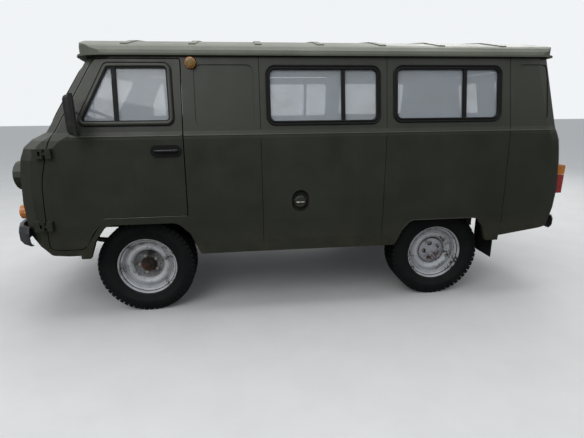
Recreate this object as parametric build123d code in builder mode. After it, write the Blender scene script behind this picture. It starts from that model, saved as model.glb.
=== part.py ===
from build123d import *
import os
from collections import namedtuple
from math import atan2, ceil, cos, degrees, radians, sin, sqrt, tan

# Forward-control four-wheel-drive ambulance van with a hollow body on a ladder chassis.
# Frame: +X forward, +Y left, +Z up, millimetres. The origin is on the ground, midway between the axles.
# "Left" and "right" are the vehicle's own.

os.makedirs("parts", exist_ok=True)

# Driving dimensions: chassis and wheels
WHEELBASE = 2300.0
TRACK = 1442.0
TYRE_RADIUS = 361.0
TYRE_WIDTH = 222.0
LUG_HEIGHT = 6.0
TREAD_SIDES = 36
RIM_SIDES = 18
HUB_SIDES = 12
BALL_SIDES = 12
RIM_FLANGE_RADIUS = 220.0
RIM_SEAT_RADIUS = 203.0
RIM_WIDTH = 176.0
RIM_THICKNESS = 5.0
DISC_OFFSET = 24.0
HAND_HOLES = 5
RAIL_Y = 400.0
RAIL_WIDTH = 60.0
RAIL_BOTTOM = 580.0
RAIL_HEIGHT = 120.0
RAIL_FRONT = 1900.0
RAIL_REAR = -2010.0
AXLE_TUBE_RADIUS = 42.0
DIFF_RADIUS = 142.0
BALL_RADIUS = 78.0
KINGPIN_Y = 568.0
KNUCKLE_CLEARANCE = 6.0
KNUCKLE_WALL = 16.0
SPINDLE_RADIUS = 26.0
SPINDLE_CLEARANCE = 0.4
DRUM_RADIUS = 140.0
DRUM_WIDTH = 62.0
SPRING_LENGTH = 1050.0
SPRING_THICKNESS = 48.0
SPRING_WIDTH = 56.0
SPRING_SAG = 70.0

# Driving dimensions: body
WALL = 40.0
NOSE_BOW_RADIUS = 3268.0
REAR_CORNER = 120.0
BODY_BOTTOM = 495.0
BELT_Z = 1380.0
GUTTER_Z = 1866.0
FLOOR_TOP = 720.0
FLOOR_THICKNESS = 20.0
FLOOR_SIDE_CLEARANCE = 8.0
DOOR_GAP = 7.0
B_POST_X = 787.0
REAR_SEAM_TOP = -1562.0
REAR_SEAM_BOTTOM = -1604.0
RECESS_DEPTH = 7.0
ROOF_CROWN = 2044.0
ROOF_BOW_RADIUS = 3400.0
ROOF_EDGE_RADIUS = 74.0
ROOF_WALL = 30.0
ROOF_NOSE_X = 1540.0
ROOF_REAR_X = -1926.0
ROOF_HALF_WIDTH = 886.0
ROOF_CORNER = 200.0
GUTTER_REACH = 20.0
GUTTER_HEIGHT = 12.0
RIB_WIDTH = 46.0
RIB_HEIGHT = 7.0
RIB_PLACES = (1140.0, 698.0, 254.0, -180.0, -624.0, -1064.0, -1533.0)

# Driving dimensions: glass, seals and doors
RUBBER_WIDTH = 30.0
RUBBER_PROUD = 7.0
RUBBER_DEPTH = 26.0
RUBBER_LAP = 12.0
PANE_DEPTH = 10.0
PANE_THICKNESS = 5.0
FRONT_HINGE_LOW = (1758.0, 757.0)
FRONT_HINGE_HIGH = (1692.0, 1250.0)
HINGE_STANDOFF = 18.0
HINGE_PIN_RADIUS = 6.0
HINGE_KNUCKLE_RADIUS = 11.0
HINGE_RUNNING_GAP = 1.0
HINGE_BORE_CLEARANCE = 0.3
SIDE_DOOR_FRONT = 222.0
SIDE_DOOR_REAR = -606.0
SIDE_DOOR_BOTTOM = 560.0
REAR_DOOR_HALF = 640.0
REAR_DOOR_BOTTOM = 690.0
REAR_DOOR_TOP = 1822.0
REAR_HINGE_LOW = (-2125.0, 760.0)
REAR_HINGE_HIGH = (-2077.0, 1240.0)
REAR_HINGE_Y = 664.0
DOOR_TOP = 1850.0

# Body sections from the sills up: height, half width, nose at the centre line, nose corner radius, rear face.
Section = namedtuple("Section", "z half nose corner rear")
SECTIONS = (
    Section(BODY_BOTTOM, 948, 1955, 250, -2036),
    Section(590, 958, 2044, 290, -2062),
    Section(741, 966, 2066, 300, -2088),
    Section(900, 968, 2070, 300, -2096),
    Section(1100, 968, 2054, 300, -2076),
    Section(1200, 968, 2034, 290, -2060),
    Section(1275, 968, 1998, 280, -2044),
    Section(1330, 968, 1930, 270, -2018),
    Section(1356, 966, 1872, 260, -2004),
    Section(BELT_Z, 960, 1824, 240, -1998),
    Section(GUTTER_Z, 878, 1496, 200, -1908),
)

# Window places seen from the side: front and rear edge, bottom, top, corner radius and the divider bar.
Window = namedtuple("Window", "front rear bottom top radius divider")
SIDE_WINDOWS = (
    Window(215, -593, 1410, 1808, 62, -324),
    Window(-687, -1502, 1418, 1810, 62, -1218),
)
REAR_WINDOW = Window(560, 92, 1430, 1775, 55, None)
SCREEN_HALF_BOTTOM = 770.0
SCREEN_HALF_TOP = 735.0
SCREEN_BOTTOM = 1412.0
SCREEN_TOP = 1822.0
SCREEN_CORNER = 90.0
BLANK_PANELS = (
    Window(695, 296, 1410, 1810, 45, None),
    Window(-1622, -1880, 1420, 1815, 45, None),
)
DIVIDER_WIDTH = 26.0

# Front door seen from the side, clockwise from the lower front corner: x, z and corner radius.
FRONT_DOOR = (
    (1768, 566, 40),
    (1753, 860, 0),
    (1738, 1060, 260),
    (1655, 1330, 120),
    (1342, DOOR_TOP, 30),
    (773, DOOR_TOP, 20),
    (B_POST_X + 1, 790, 20),
    (1368, 790, 60),
    (1524, 566, 60),
)
DOOR_WINDOW = (
    (1474, 1424, 40),
    (1262, 1818, 40),
    (843, 1818, 45),
    (838, 1424, 45),
)
VENT_DIVIDER = 1206.0
HANDLE_PLACE = (903.0, 1251.0)
HANDLE_SIZE = (205.0, 79.0)
HANDLE_PROUD = 8.0

# Cut under the nose seen from the side, behind the bumper.
NOSE_UNDERCUT = (
    (1560, 440),
    (1560, 522),
    (1775, 522),
    (1945, 690),
    (2300, 690),
    (2300, 440),
)

# Cut under the tail seen from the side.
REAR_UNDERCUT = (
    (-1530, 440),
    (-1500, 505),
    (-1585, 532),
    (-2003, 596),
    (-2300, 600),
    (-2300, 440),
)

# Wheel arches seen from the side, from front to rear: x, z and corner radius.
FRONT_ARCH = (
    (1520, 440, 0),
    (1445, 630, 60),
    (1360, 742, 90),
    (870, 742, 90),
    (783, 655, 60),
    (700, 440, 0),
)
REAR_ARCH = (
    (-712, 440, 0),
    (-800, 618, 60),
    (-866, 693, 60),
    (-1398, 693, 60),
    (-1456, 618, 60),
    (-1530, 440, 0),
)

# Derived sizes
FRONT_AXLE_X = WHEELBASE / 2
REAR_AXLE_X = -WHEELBASE / 2
HALF_TRACK = TRACK / 2
AXLE_Z = TYRE_RADIUS
FLOOR_BOTTOM = FLOOR_TOP - FLOOR_THICKNESS
SIDE_REACH = 1200.0
LEFT = 1
RIGHT = -1
SIDES = (("left", LEFT), ("right", RIGHT))


CHORD_TURN = 30.0
NOSE_CHORDS = 3
REAR_CHORDS = 3
BOW_CHORDS = 3


def rounded_corner(before, corner, after, radius):
    """Points that round one corner of an outline off with short chords."""
    here = Vector(*corner)
    to_before = (Vector(*before) - here).normalized()
    to_after = (Vector(*after) - here).normalized()
    half_angle = radians(to_before.get_angle(to_after)) / 2
    turn = radians(180) - 2 * half_angle
    centre = here + (to_before + to_after).normalized() * (radius / sin(half_angle))
    arms = [here + way * (radius / tan(half_angle)) - centre for way in (to_before, to_after)]
    chords = ceil(degrees(turn) / CHORD_TURN - 0.2)
    points = []
    for step in range(chords + 1):
        share = step / chords
        places = [arms[0] * (sin((1 - share) * turn) / sin(turn)), arms[1] * (sin(share * turn) / sin(turn))]
        points.append(centre + places[0] + places[1])
    return [(point.X, point.Y) for point in points]


def rounded_outline(corners):
    """Closed outline with rounded corners: each corner is x, y and radius."""
    points = []
    for index, (x, y, radius) in enumerate(corners):
        before = corners[index - 1][:2]
        after = corners[(index + 1) % len(corners)][:2]
        points += rounded_corner(before, (x, y), after, radius) if radius else [(x, y)]
    with BuildSketch() as outline:
        with BuildLine():
            Polyline(*points, close=True)
        make_face()
    return outline.sketch


def arc_points(centre, radius, start, end, chords):
    """Points along an arc with both its ends, from one angle to another in degrees."""
    x, y = centre
    angles = [radians(start + (end - start) * step / chords) for step in range(chords + 1)]
    return [(x + radius * cos(angle), y + radius * sin(angle)) for angle in angles]


def bowed_half(half, nose, corner, bow_radius):
    """Half of a bowed front with its rounded corner, from the centre line to the side line."""
    bow_centre = nose - bow_radius
    corner_x = bow_centre + sqrt((bow_radius - corner) ** 2 - (half - corner) ** 2)
    bow_end = degrees(atan2(half - corner, corner_x - bow_centre))
    bow = arc_points((bow_centre, 0), bow_radius, 0, bow_end, BOW_CHORDS)
    return bow[:-1] + arc_points((corner_x, half - corner), corner, bow_end, 90, NOSE_CHORDS)


def plan_outline(half, nose, corner, rear, rear_corner):
    """Body outline seen from above, centred on the vehicle, with its curves as short chords."""
    left = bowed_half(half, nose, corner, NOSE_BOW_RADIUS)
    left += arc_points((rear + rear_corner, half - rear_corner), rear_corner, 90, 180, REAR_CHORDS)
    right = [(x, -y) for x, y in reversed(left[1:])]
    with BuildSketch() as outline:
        with BuildLine():
            Polyline(*left, *right, close=True)
        make_face()
    return outline.sketch


def turned(rows, sides):
    """Many-sided form about local z through rows of radius and height, with a flat side down."""
    with BuildPart() as form:
        for radius, height in rows:
            with BuildSketch(Plane.XY.offset(height)):
                RegularPolygon(radius, sides, major_radius=False, rotation=180 / sides)
        loft(ruled=True)
    return form.part


def envelope(inset, overrun=0.0):
    """Solid body form, brought in by an inset, running past top and bottom by an overrun."""
    stack = [(section.z, section) for section in SECTIONS]
    if overrun:
        stack.insert(0, (SECTIONS[0].z - overrun, SECTIONS[0]))
        stack.append((SECTIONS[-1].z + overrun, SECTIONS[-1]))
    with BuildPart() as form:
        for height, section in stack:
            outline = plan_outline(
                section.half - inset,
                section.nose - inset,
                section.corner - inset,
                section.rear + inset,
                REAR_CORNER - inset,
            )
            with BuildSketch(Plane.XY.offset(height)):
                add(outline)
        loft(ruled=True)
    return form.part


def skin(outer_inset, inner_inset):
    """Thin shell of the body form between two insets."""
    with BuildPart() as shell:
        add(envelope(outer_inset))
        add(envelope(inner_inset, overrun=2.0), mode=Mode.SUBTRACT)
    return shell.part


def side_prism(corners, side, inner=300.0, outer=SIDE_REACH, margin=0.0):
    """Side-view outline as a prism on one side of the vehicle."""
    with BuildPart() as prism:
        with BuildSketch(Plane.XZ.offset(-side * inner)):
            add(rounded_outline(corners))
            if margin:
                offset(amount=margin, kind=Kind.INTERSECTION, mode=Mode.REPLACE)
        extrude(amount=-side * (outer - inner))
    return prism.part


def window_corners(window, grow=0.0):
    """Rounded rectangle of a window as outline corners, made larger by a margin."""
    radius = max(window.radius + grow, 4.0)
    return (
        (window.front + grow, window.bottom - grow, radius),
        (window.front + grow, window.top + grow, radius),
        (window.rear - grow, window.top + grow, radius),
        (window.rear - grow, window.bottom - grow, radius),
    )


def end_prism(corners, start, end, margin=0.0):
    """Outline in Y and Z as a prism between two X places."""
    with BuildPart() as prism:
        with BuildSketch(Plane.YZ.offset(start)):
            add(rounded_outline(corners))
            if margin:
                offset(amount=margin, kind=Kind.INTERSECTION, mode=Mode.REPLACE)
        extrude(amount=end - start)
    return prism.part


def block(x_range, y_range, z_range):
    """Box between two corners, as a helper solid."""
    size = [high - low for low, high in (x_range, y_range, z_range)]
    centre = [(high + low) / 2 for low, high in (x_range, y_range, z_range)]
    return Pos(*centre) * Box(*size, mode=Mode.PRIVATE)


def finish(builder, name):
    """Label a piece and write its file."""
    builder.part.label = name
    export_step(builder.part, f"parts/{name}.step")


wall = skin(0, WALL)
lap_skin = skin(-RUBBER_PROUD, 0)
bed_skin = skin(0, RUBBER_DEPTH)
pane_skin = skin(PANE_DEPTH, PANE_DEPTH + PANE_THICKNESS)
recess_skin = skin(-2.0, RECESS_DEPTH)


def twin(part):
    """Mirror image of a left-hand piece, for the right-hand side."""
    return mirror(part, about=Plane.XZ, mode=Mode.PRIVATE)


def finish_pair(builder, name):
    """Write a left-hand piece and its mirror image for the right-hand side."""
    finish(builder, f"{name}_left")
    with BuildPart() as right_piece:
        add(twin(builder.part))
    finish(right_piece, f"{name}_right")


def seal(prism_maker, divider=None):
    """Rubber seal round a window: a lap outside the panel and a bed in its thickness."""
    with BuildPart() as bed:
        add(bed_skin)
        add(prism_maker(-RUBBER_LAP), mode=Mode.INTERSECT)
    with BuildPart() as inside:
        add(prism_maker(-RUBBER_WIDTH))
        if divider is not None:
            add(divider, mode=Mode.SUBTRACT)
    with BuildPart() as ring:
        add(lap_skin)
        add(prism_maker(0.0), mode=Mode.INTERSECT)
        add(bed.part)
        add(inside.part, mode=Mode.SUBTRACT)
    return ring.part


def pane(prism_maker, divider=None):
    """Glass that fills the inside of a seal."""
    with BuildPart() as glass:
        add(pane_skin)
        add(prism_maker(-RUBBER_WIDTH), mode=Mode.INTERSECT)
        if divider is not None:
            add(divider, mode=Mode.SUBTRACT)
    return glass.part


def divider_bar(x_place, side):
    """Upright bar between two panes of a side window."""
    half = DIVIDER_WIDTH / 2
    low, high = sorted((side * 300, side * SIDE_REACH))
    return block((x_place - half, x_place + half), (low, high), (BELT_Z, GUTTER_Z))


def side_door_corners(grow=0.0):
    """Right-hand side door seen from the side."""
    return (
        (SIDE_DOOR_FRONT + grow, SIDE_DOOR_BOTTOM - grow, 45),
        (SIDE_DOOR_FRONT + grow, DOOR_TOP + grow, 60),
        (SIDE_DOOR_REAR - grow, DOOR_TOP + grow, 60),
        (SIDE_DOOR_REAR - grow, SIDE_DOOR_BOTTOM - grow, 45),
    )


def rear_opening_corners(half):
    """Rear door opening seen from behind."""
    return (
        (half, REAR_DOOR_BOTTOM, 45),
        (half, REAR_DOOR_TOP, 80),
        (-half, REAR_DOOR_TOP, 80),
        (-half, REAR_DOOR_BOTTOM, 45),
    )


def screen_corners():
    """Windscreen outline seen from the front."""
    return (
        (SCREEN_HALF_BOTTOM, SCREEN_BOTTOM, SCREEN_CORNER),
        (SCREEN_HALF_TOP, SCREEN_TOP, SCREEN_CORNER),
        (-SCREEN_HALF_TOP, SCREEN_TOP, SCREEN_CORNER),
        (-SCREEN_HALF_BOTTOM, SCREEN_BOTTOM, SCREEN_CORNER),
    )


def rear_window_corners(side):
    """One rear door window seen from behind."""
    window = REAR_WINDOW
    return tuple((side * y, z, radius) for y, z, radius in window_corners(window))


def side_window_prism(window, side):
    """Prism maker for one side window."""
    return lambda margin: side_prism(window_corners(window), side, margin=margin)


def door_window_prism(side):
    """Prism maker for a front door window."""
    return lambda margin: side_prism(DOOR_WINDOW, side, margin=margin)


def screen_prism(margin):
    """Prism through the windscreen."""
    return end_prism(screen_corners(), 1200, 2300, margin)


def rear_window_prism(side):
    """Prism maker for one rear door window."""
    return lambda margin: end_prism(rear_window_corners(side), -1700, -2300, margin)


# Roof: a cap with a bowed top, rolled edges, cross ribs and a rain gutter
# Rolled front and rear edge: each row is the drop below the crown and the step inwards.
ROOF_ROLL = ((110, 0), (62, 9), (24, 30), (0, 78))


def roof_block(inset, crown):
    """Solid roof form, brought in by an inset, with its crown at a height."""
    rows = [(GUTTER_Z, 0)] + [(crown - drop, step) for drop, step in ROOF_ROLL]
    half_top = bowed_half(ROOF_HALF_WIDTH - inset, crown, ROOF_EDGE_RADIUS - inset, ROOF_BOW_RADIUS)
    half_section = [(y, z) for z, y in half_top] + [(ROOF_HALF_WIDTH - inset, GUTTER_Z - 1)]
    section = half_section + [(-y, z) for y, z in reversed(half_section[1:])]
    with BuildPart() as cap:
        for height, step in rows:
            outline = plan_outline(
                ROOF_HALF_WIDTH - inset + 1,
                ROOF_NOSE_X - inset - step,
                ROOF_CORNER - inset,
                ROOF_REAR_X + inset + step,
                REAR_CORNER - inset,
            )
            with BuildSketch(Plane.XY.offset(height)):
                add(outline)
        loft(ruled=True)
        with BuildSketch(Plane.YZ.offset(ROOF_REAR_X - 50)):
            with BuildLine():
                Polyline(*section, close=True)
            make_face()
        extrude(amount=ROOF_NOSE_X - ROOF_REAR_X + 100, mode=Mode.INTERSECT)
    return cap.part


with BuildPart() as rib_form:
    for place in RIB_PLACES:
        with Locations((place, 0, (GUTTER_Z + ROOF_CROWN) / 2 + 60)):
            Box(RIB_WIDTH, 2 * ROOF_HALF_WIDTH - 120, ROOF_CROWN - GUTTER_Z)

with BuildPart() as raised_roof:
    add(roof_block(-RIB_HEIGHT, ROOF_CROWN + RIB_HEIGHT))
    add(rib_form.part, mode=Mode.INTERSECT)

with BuildPart() as roof:
    add(roof_block(0, ROOF_CROWN))
    add(raised_roof.part)
    gutter = plan_outline(
        ROOF_HALF_WIDTH + GUTTER_REACH,
        ROOF_NOSE_X + GUTTER_REACH,
        ROOF_CORNER + GUTTER_REACH,
        ROOF_REAR_X - GUTTER_REACH,
        REAR_CORNER + GUTTER_REACH,
    )
    with BuildSketch(Plane.XY.offset(GUTTER_Z)):
        add(gutter)
    extrude(amount=GUTTER_HEIGHT)
    add(roof_block(ROOF_WALL + 8, ROOF_CROWN - ROOF_WALL), mode=Mode.SUBTRACT)
finish(roof, "roof")

# Side walls with window openings, recessed blank panels, wheel arches and the filler recess
FILLER_X = -16.0
FILLER_HALF = 62.0
FILLER_BOTTOM = 794.0
FILLER_TOP = 953.0
FILLER_DEPTH = 34.0
# Filler cap from its seat outwards: radius and height.
CAP_ROWS = ((44, 0), (44, FILLER_DEPTH - 16), (36, FILLER_DEPTH - 8))
LAMP_SIDES = 16

walls = {}
for name, side in SIDES:
    with BuildPart() as side_wall:
        add(wall)
        with BuildSketch(Plane.XZ.offset(-side * 300)):
            with BuildLine():
                Polyline(
                    (B_POST_X, BODY_BOTTOM),
                    (B_POST_X, GUTTER_Z),
                    (REAR_SEAM_TOP, GUTTER_Z),
                    (REAR_SEAM_BOTTOM, BODY_BOTTOM),
                    close=True,
                )
            make_face()
        extrude(amount=-side * SIDE_REACH, mode=Mode.INTERSECT)
        add(side_prism(FRONT_DOOR, side), mode=Mode.SUBTRACT)
        add(side_prism(FRONT_ARCH, side), mode=Mode.SUBTRACT)
        add(side_prism(REAR_ARCH, side), mode=Mode.SUBTRACT)
        for window in SIDE_WINDOWS:
            if side == LEFT or window is not SIDE_WINDOWS[0]:
                add(side_prism(window_corners(window), side, margin=-RUBBER_LAP), mode=Mode.SUBTRACT)
        if side == RIGHT:
            add(side_prism(side_door_corners(), side), mode=Mode.SUBTRACT)
    walls[name] = side_wall

with BuildPart() as blank_left:
    add(recess_skin)
    add(side_prism(window_corners(BLANK_PANELS[0]), LEFT), mode=Mode.INTERSECT)
with BuildPart() as blank_right:
    add(recess_skin)
    add(side_prism(window_corners(BLANK_PANELS[0]), RIGHT), mode=Mode.INTERSECT)

with BuildPart() as side_wall_left:
    add(walls["left"].part)
    add(blank_left.part, mode=Mode.SUBTRACT)
    with BuildSketch(Plane.XZ.offset(-(968 - FILLER_DEPTH))):
        with Locations((FILLER_X, (FILLER_BOTTOM + FILLER_TOP) / 2)):
            SlotOverall(FILLER_TOP - FILLER_BOTTOM, 2 * FILLER_HALF, rotation=90)
    extrude(amount=-100, mode=Mode.SUBTRACT)
finish(side_wall_left, "side_wall_left")

with BuildPart() as side_wall_right:
    add(walls["right"].part)
    add(blank_right.part, mode=Mode.SUBTRACT)
finish(side_wall_right, "side_wall_right")

# Filler cap in its recess
with BuildPart() as filler_cap:
    cap_centre = (FILLER_X, 968 - FILLER_DEPTH, FILLER_BOTTOM + FILLER_HALF + 6)
    cap_place = Plane(origin=cap_centre, x_dir=(1, 0, 0), z_dir=(0, 1, 0)).location
    add(turned(CAP_ROWS, LAMP_SIDES).moved(cap_place))

# Rear surround with the door opening and recessed corner panels
TAIL_LAMP_Y = 868.0
HITCH_NOTCH = 110.0
HITCH_NOTCH_TOP = 684.0
with BuildPart() as rear_surround:
    add(wall)
    with BuildSketch(Plane.XZ.offset(-SIDE_REACH)):
        with BuildLine():
            Polyline(
                (REAR_SEAM_TOP, GUTTER_Z),
                (REAR_SEAM_BOTTOM, BODY_BOTTOM),
                (-2300, BODY_BOTTOM),
                (-2300, GUTTER_Z),
                close=True,
            )
        make_face()
    extrude(amount=2 * SIDE_REACH, mode=Mode.INTERSECT)
    add(end_prism(rear_opening_corners(REAR_DOOR_HALF), -1700, -2300), mode=Mode.SUBTRACT)
    for name, side in SIDES:
        with BuildSketch(Plane.XZ.offset(-side * 300)):
            with BuildLine():
                Polyline(*REAR_UNDERCUT, close=True)
            make_face()
        extrude(amount=-side * SIDE_REACH, mode=Mode.SUBTRACT)
    notch = (-HITCH_NOTCH, HITCH_NOTCH)
    add(block((-2300, -1900), notch, (BODY_BOTTOM, HITCH_NOTCH_TOP)), mode=Mode.SUBTRACT)
for name, side in SIDES:
    with BuildPart() as blank:
        add(recess_skin)
        add(side_prism(window_corners(BLANK_PANELS[1]), side), mode=Mode.INTERSECT)
    with BuildPart() as rear_cut:
        add(rear_surround.part)
        add(blank.part, mode=Mode.SUBTRACT)
    rear_surround = rear_cut
finish(rear_surround, "rear_surround")

# Nose: front panel, corner panels, windscreen pillars and the strips over the front wheels
HEADLAMP_Y = 632.0
HEADLAMP_Z = 1063.0
HEADLAMP_RADIUS = 88.0
GRILLE_HALF = 330.0
GRILLE_BOTTOM = 905.0
GRILLE_TOP = 1120.0
TURN_LAMP_Y = 716.0
TURN_LAMP_Z = 806.0

with BuildPart() as front_body:
    add(wall)
    add(block((B_POST_X, 2300), (-SIDE_REACH, SIDE_REACH), (BODY_BOTTOM, GUTTER_Z)), mode=Mode.INTERSECT)
    for name, side in SIDES:
        add(side_prism(FRONT_DOOR, side), mode=Mode.SUBTRACT)
        add(side_prism(FRONT_ARCH, side), mode=Mode.SUBTRACT)
        with BuildSketch(Plane.YZ.offset(1700)):
            with Locations((side * HEADLAMP_Y, HEADLAMP_Z)):
                RegularPolygon(HEADLAMP_RADIUS - 4, LAMP_SIDES, major_radius=False)
        extrude(amount=500, mode=Mode.SUBTRACT)
    add(screen_prism(-RUBBER_LAP), mode=Mode.SUBTRACT)
    with BuildSketch(Plane.YZ.offset(1900)):
        with Locations((0, (GRILLE_BOTTOM + GRILLE_TOP) / 2)):
            RectangleRounded(2 * GRILLE_HALF, GRILLE_TOP - GRILLE_BOTTOM, 30)
    extrude(amount=400, mode=Mode.SUBTRACT)
    with BuildSketch(Plane.XZ.offset(-SIDE_REACH)):
        with BuildLine():
            Polyline(*NOSE_UNDERCUT, close=True)
        make_face()
    extrude(amount=2 * SIDE_REACH, mode=Mode.SUBTRACT)


HINGE_LENGTH = 66.0
HINGE_LINK = 22.0
HINGE_LINK_TRIM = 2.5
HINGE_SWING_GAP = 4.0
HINGE_REACH = 110.0
HINGE_REGION = 125.0
HINGE_LEAF = 36.0
HINGE_FACE = 6.0
LINK_LIFT = 3.0
BARREL_SIDES = 6
body_form = envelope(0)


def barrel(centre, axis, length, radius, hollow=False):
    """Barrel along a hinge line, centred on a point: within the radius, or round it where it is a hollow."""
    with BuildPart() as form:
        with BuildSketch(Plane(origin=centre - axis * (length / 2), z_dir=axis)):
            RegularPolygon(radius, BARREL_SIDES, major_radius=not hollow)
        extrude(amount=length)
    return form.part


def strap(x, y, direction, start, end, z_range, skin_piece):
    """Plate from a hinge pin towards the panel, seated on the outside of the body form."""
    along_x, along_y = direction
    if along_x:
        x_range = sorted((x + along_x * start, x + along_x * end))
        y_range = (y - HINGE_REACH, y + HINGE_FACE)
    else:
        x_range = (x - HINGE_FACE, x + HINGE_REACH)
        y_range = sorted((y + along_y * start, y + along_y * end))
    with BuildPart() as plate:
        add(block(x_range, y_range, z_range))
        add(skin_piece, mode=Mode.SUBTRACT)
    return plate.part


def hinge_half(centre, axis, direction, on_door, skin_piece):
    """Half of one hinge: the door has the middle barrel, the body has the end barrels and the pin."""
    third = HINGE_LENGTH / 3
    barrel_length = third - HINGE_RUNNING_GAP
    reach = barrel_length / 2 - HINGE_LINK_TRIM
    leaf = (centre.Z - HINGE_LENGTH / 2, centre.Z + HINGE_LENGTH / 2)
    outward = Vector(direction[1], abs(direction[0]), 0)
    link_seat = skin_piece.moved(Location(outward * LINK_LIFT)) if on_door else skin_piece
    with BuildPart() as half:
        add(strap(centre.X, centre.Y, direction, HINGE_LINK, HINGE_LINK + HINGE_LEAF, leaf, skin_piece))
        for step in (0,) if on_door else (-1, 1):
            middle = centre + axis * (step * third)
            link = (middle.Z - reach, middle.Z + reach)
            add(strap(middle.X, middle.Y, direction, 0, HINGE_LINK, link, link_seat))
            add(barrel(middle, axis, barrel_length, HINGE_KNUCKLE_RADIUS))
        if on_door:
            bore = barrel(centre, axis, HINGE_LENGTH, HINGE_PIN_RADIUS + HINGE_BORE_CLEARANCE, hollow=True)
            add(bore, mode=Mode.SUBTRACT)
        else:
            swept_radius = HINGE_KNUCKLE_RADIUS + HINGE_SWING_GAP
            swept = barrel(centre, axis, third + HINGE_RUNNING_GAP, swept_radius, hollow=True)
            add(swept, mode=Mode.SUBTRACT)
            add(barrel(centre, axis, HINGE_LENGTH, HINGE_PIN_RADIUS))
    return half.part


def hinge_pair(pins, y, door_direction):
    """Door halves and body halves of two left-hand hinges on one line."""
    low, high = (Vector(x, y, z) for x, z in pins)
    axis = (high - low).normalized()
    body_direction = (-door_direction[0], -door_direction[1])
    door_halves = []
    body_halves = []
    for centre in (low, high):
        around = [(place - HINGE_REGION, place + HINGE_REGION) for place in (centre.X, centre.Y, centre.Z)]
        with BuildPart() as skin_piece:
            add(body_form)
            add(block(*around), mode=Mode.INTERSECT)
        door_halves.append(hinge_half(centre, axis, door_direction, True, skin_piece.part))
        body_halves.append(hinge_half(centre, axis, body_direction, False, skin_piece.part))
    return door_halves, body_halves


fittings = []

# Front doors
FRONT_HINGE_Y = 968.0 + HINGE_STANDOFF
door_halves, body_halves = hinge_pair((FRONT_HINGE_LOW, FRONT_HINGE_HIGH), FRONT_HINGE_Y, (-1, 0))
for half in body_halves:
    fittings += [half, twin(half)]
with BuildPart() as front_door:
    add(wall)
    add(side_prism(FRONT_DOOR, LEFT, margin=-DOOR_GAP), mode=Mode.INTERSECT)
    add(side_prism(DOOR_WINDOW, LEFT, margin=-RUBBER_LAP), mode=Mode.SUBTRACT)
    for half in door_halves:
        add(half)
finish_pair(front_door, "front_door")

divider = divider_bar(VENT_DIVIDER, LEFT)
window = door_window_prism(LEFT)
with BuildPart() as door_trim:
    add(seal(window, divider))
    with BuildSketch(Plane.XZ.offset(-968)):
        with Locations(HANDLE_PLACE):
            SlotOverall(HANDLE_SIZE[0], HANDLE_SIZE[1])
    extrude(amount=-HANDLE_PROUD)
finish_pair(door_trim, "front_door_trim")
with BuildPart() as door_glass:
    add(pane(window, divider))
finish_pair(door_glass, "front_door_glass")

# Right-hand side door
SIDE_PIN_X = SIDE_DOOR_FRONT + 4
door_halves, body_halves = hinge_pair(((SIDE_PIN_X, 760.0), (SIDE_PIN_X, 1250.0)), FRONT_HINGE_Y, (-1, 0))
for half in body_halves:
    fittings.append(twin(half))
with BuildPart() as side_door:
    add(wall)
    add(side_prism(side_door_corners(), RIGHT, margin=-DOOR_GAP), mode=Mode.INTERSECT)
    add(side_prism(window_corners(SIDE_WINDOWS[0]), RIGHT, margin=-RUBBER_LAP), mode=Mode.SUBTRACT)
    for half in door_halves:
        add(twin(half))
finish(side_door, "side_door")

# Seals and panes of the side windows
side_seals = []
side_panes = []
for window in SIDE_WINDOWS:
    divider = divider_bar(window.divider, LEFT)
    prism = side_window_prism(window, LEFT)
    window_seal = seal(prism, divider)
    window_pane = pane(prism, divider)
    side_seals.append(window_seal)
    side_panes.append(window_pane)
    if window is SIDE_WINDOWS[0]:
        with BuildPart() as side_door_trim:
            add(twin(window_seal))
            with BuildSketch(Plane.XZ.offset(968)):
                with Locations((SIDE_DOOR_REAR + 120, HANDLE_PLACE[1])):
                    SlotOverall(HANDLE_SIZE[0], HANDLE_SIZE[1])
            extrude(amount=HANDLE_PROUD)
        finish(side_door_trim, "side_door_trim")
        with BuildPart() as side_door_glass:
            add(twin(window_pane))
        finish(side_door_glass, "side_door_glass")
    else:
        side_seals.append(twin(window_seal))
        side_panes.append(twin(window_pane))
with BuildPart() as window_seals:
    for piece in side_seals:
        add(piece)
    add(seal(screen_prism))
finish(window_seals, "window_seals")
with BuildPart() as side_glass:
    for piece in side_panes:
        add(piece)
finish(side_glass, "side_glass")
with BuildPart() as windscreen:
    add(pane(screen_prism))
finish(windscreen, "windscreen")

# Rear doors, each with its window
REAR_DOOR_SPLIT = 7.0
GRIP_RANGES = ((-2140, -1990), (22, 62), (1010, 1190))
door_halves, body_halves = hinge_pair((REAR_HINGE_LOW, REAR_HINGE_HIGH), REAR_HINGE_Y, (0, -1))
for half in body_halves:
    fittings += [half, twin(half)]
with BuildPart() as rear_door:
    add(wall)
    add(end_prism(rear_opening_corners(REAR_DOOR_HALF), -1700, -2300, -DOOR_GAP), mode=Mode.INTERSECT)
    add(block((-2300, -1700), (REAR_DOOR_SPLIT, SIDE_REACH), (BODY_BOTTOM, GUTTER_Z)), mode=Mode.INTERSECT)
    add(rear_window_prism(LEFT)(-RUBBER_LAP), mode=Mode.SUBTRACT)
    for half in door_halves:
        add(half)
finish_pair(rear_door, "rear_door")
with BuildPart() as rear_grip:
    add(block(*GRIP_RANGES))
    add(body_form, mode=Mode.SUBTRACT)
    chamfer(rear_grip.faces().sort_by(Axis.X)[0].edges(), length=7)
with BuildPart() as rear_door_trim:
    add(seal(rear_window_prism(LEFT)))
    add(rear_grip.part)
finish_pair(rear_door_trim, "rear_door_trim")
with BuildPart() as rear_door_glass:
    add(pane(rear_window_prism(LEFT)))
finish_pair(rear_door_glass, "rear_door_glass")

# Wheels
HALF_WIDTH = TYRE_WIDTH / 2
CROWN_RADIUS = TYRE_RADIUS - LUG_HEIGHT
BEAD_EDGE = RIM_WIDTH / 2 - 14

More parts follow.
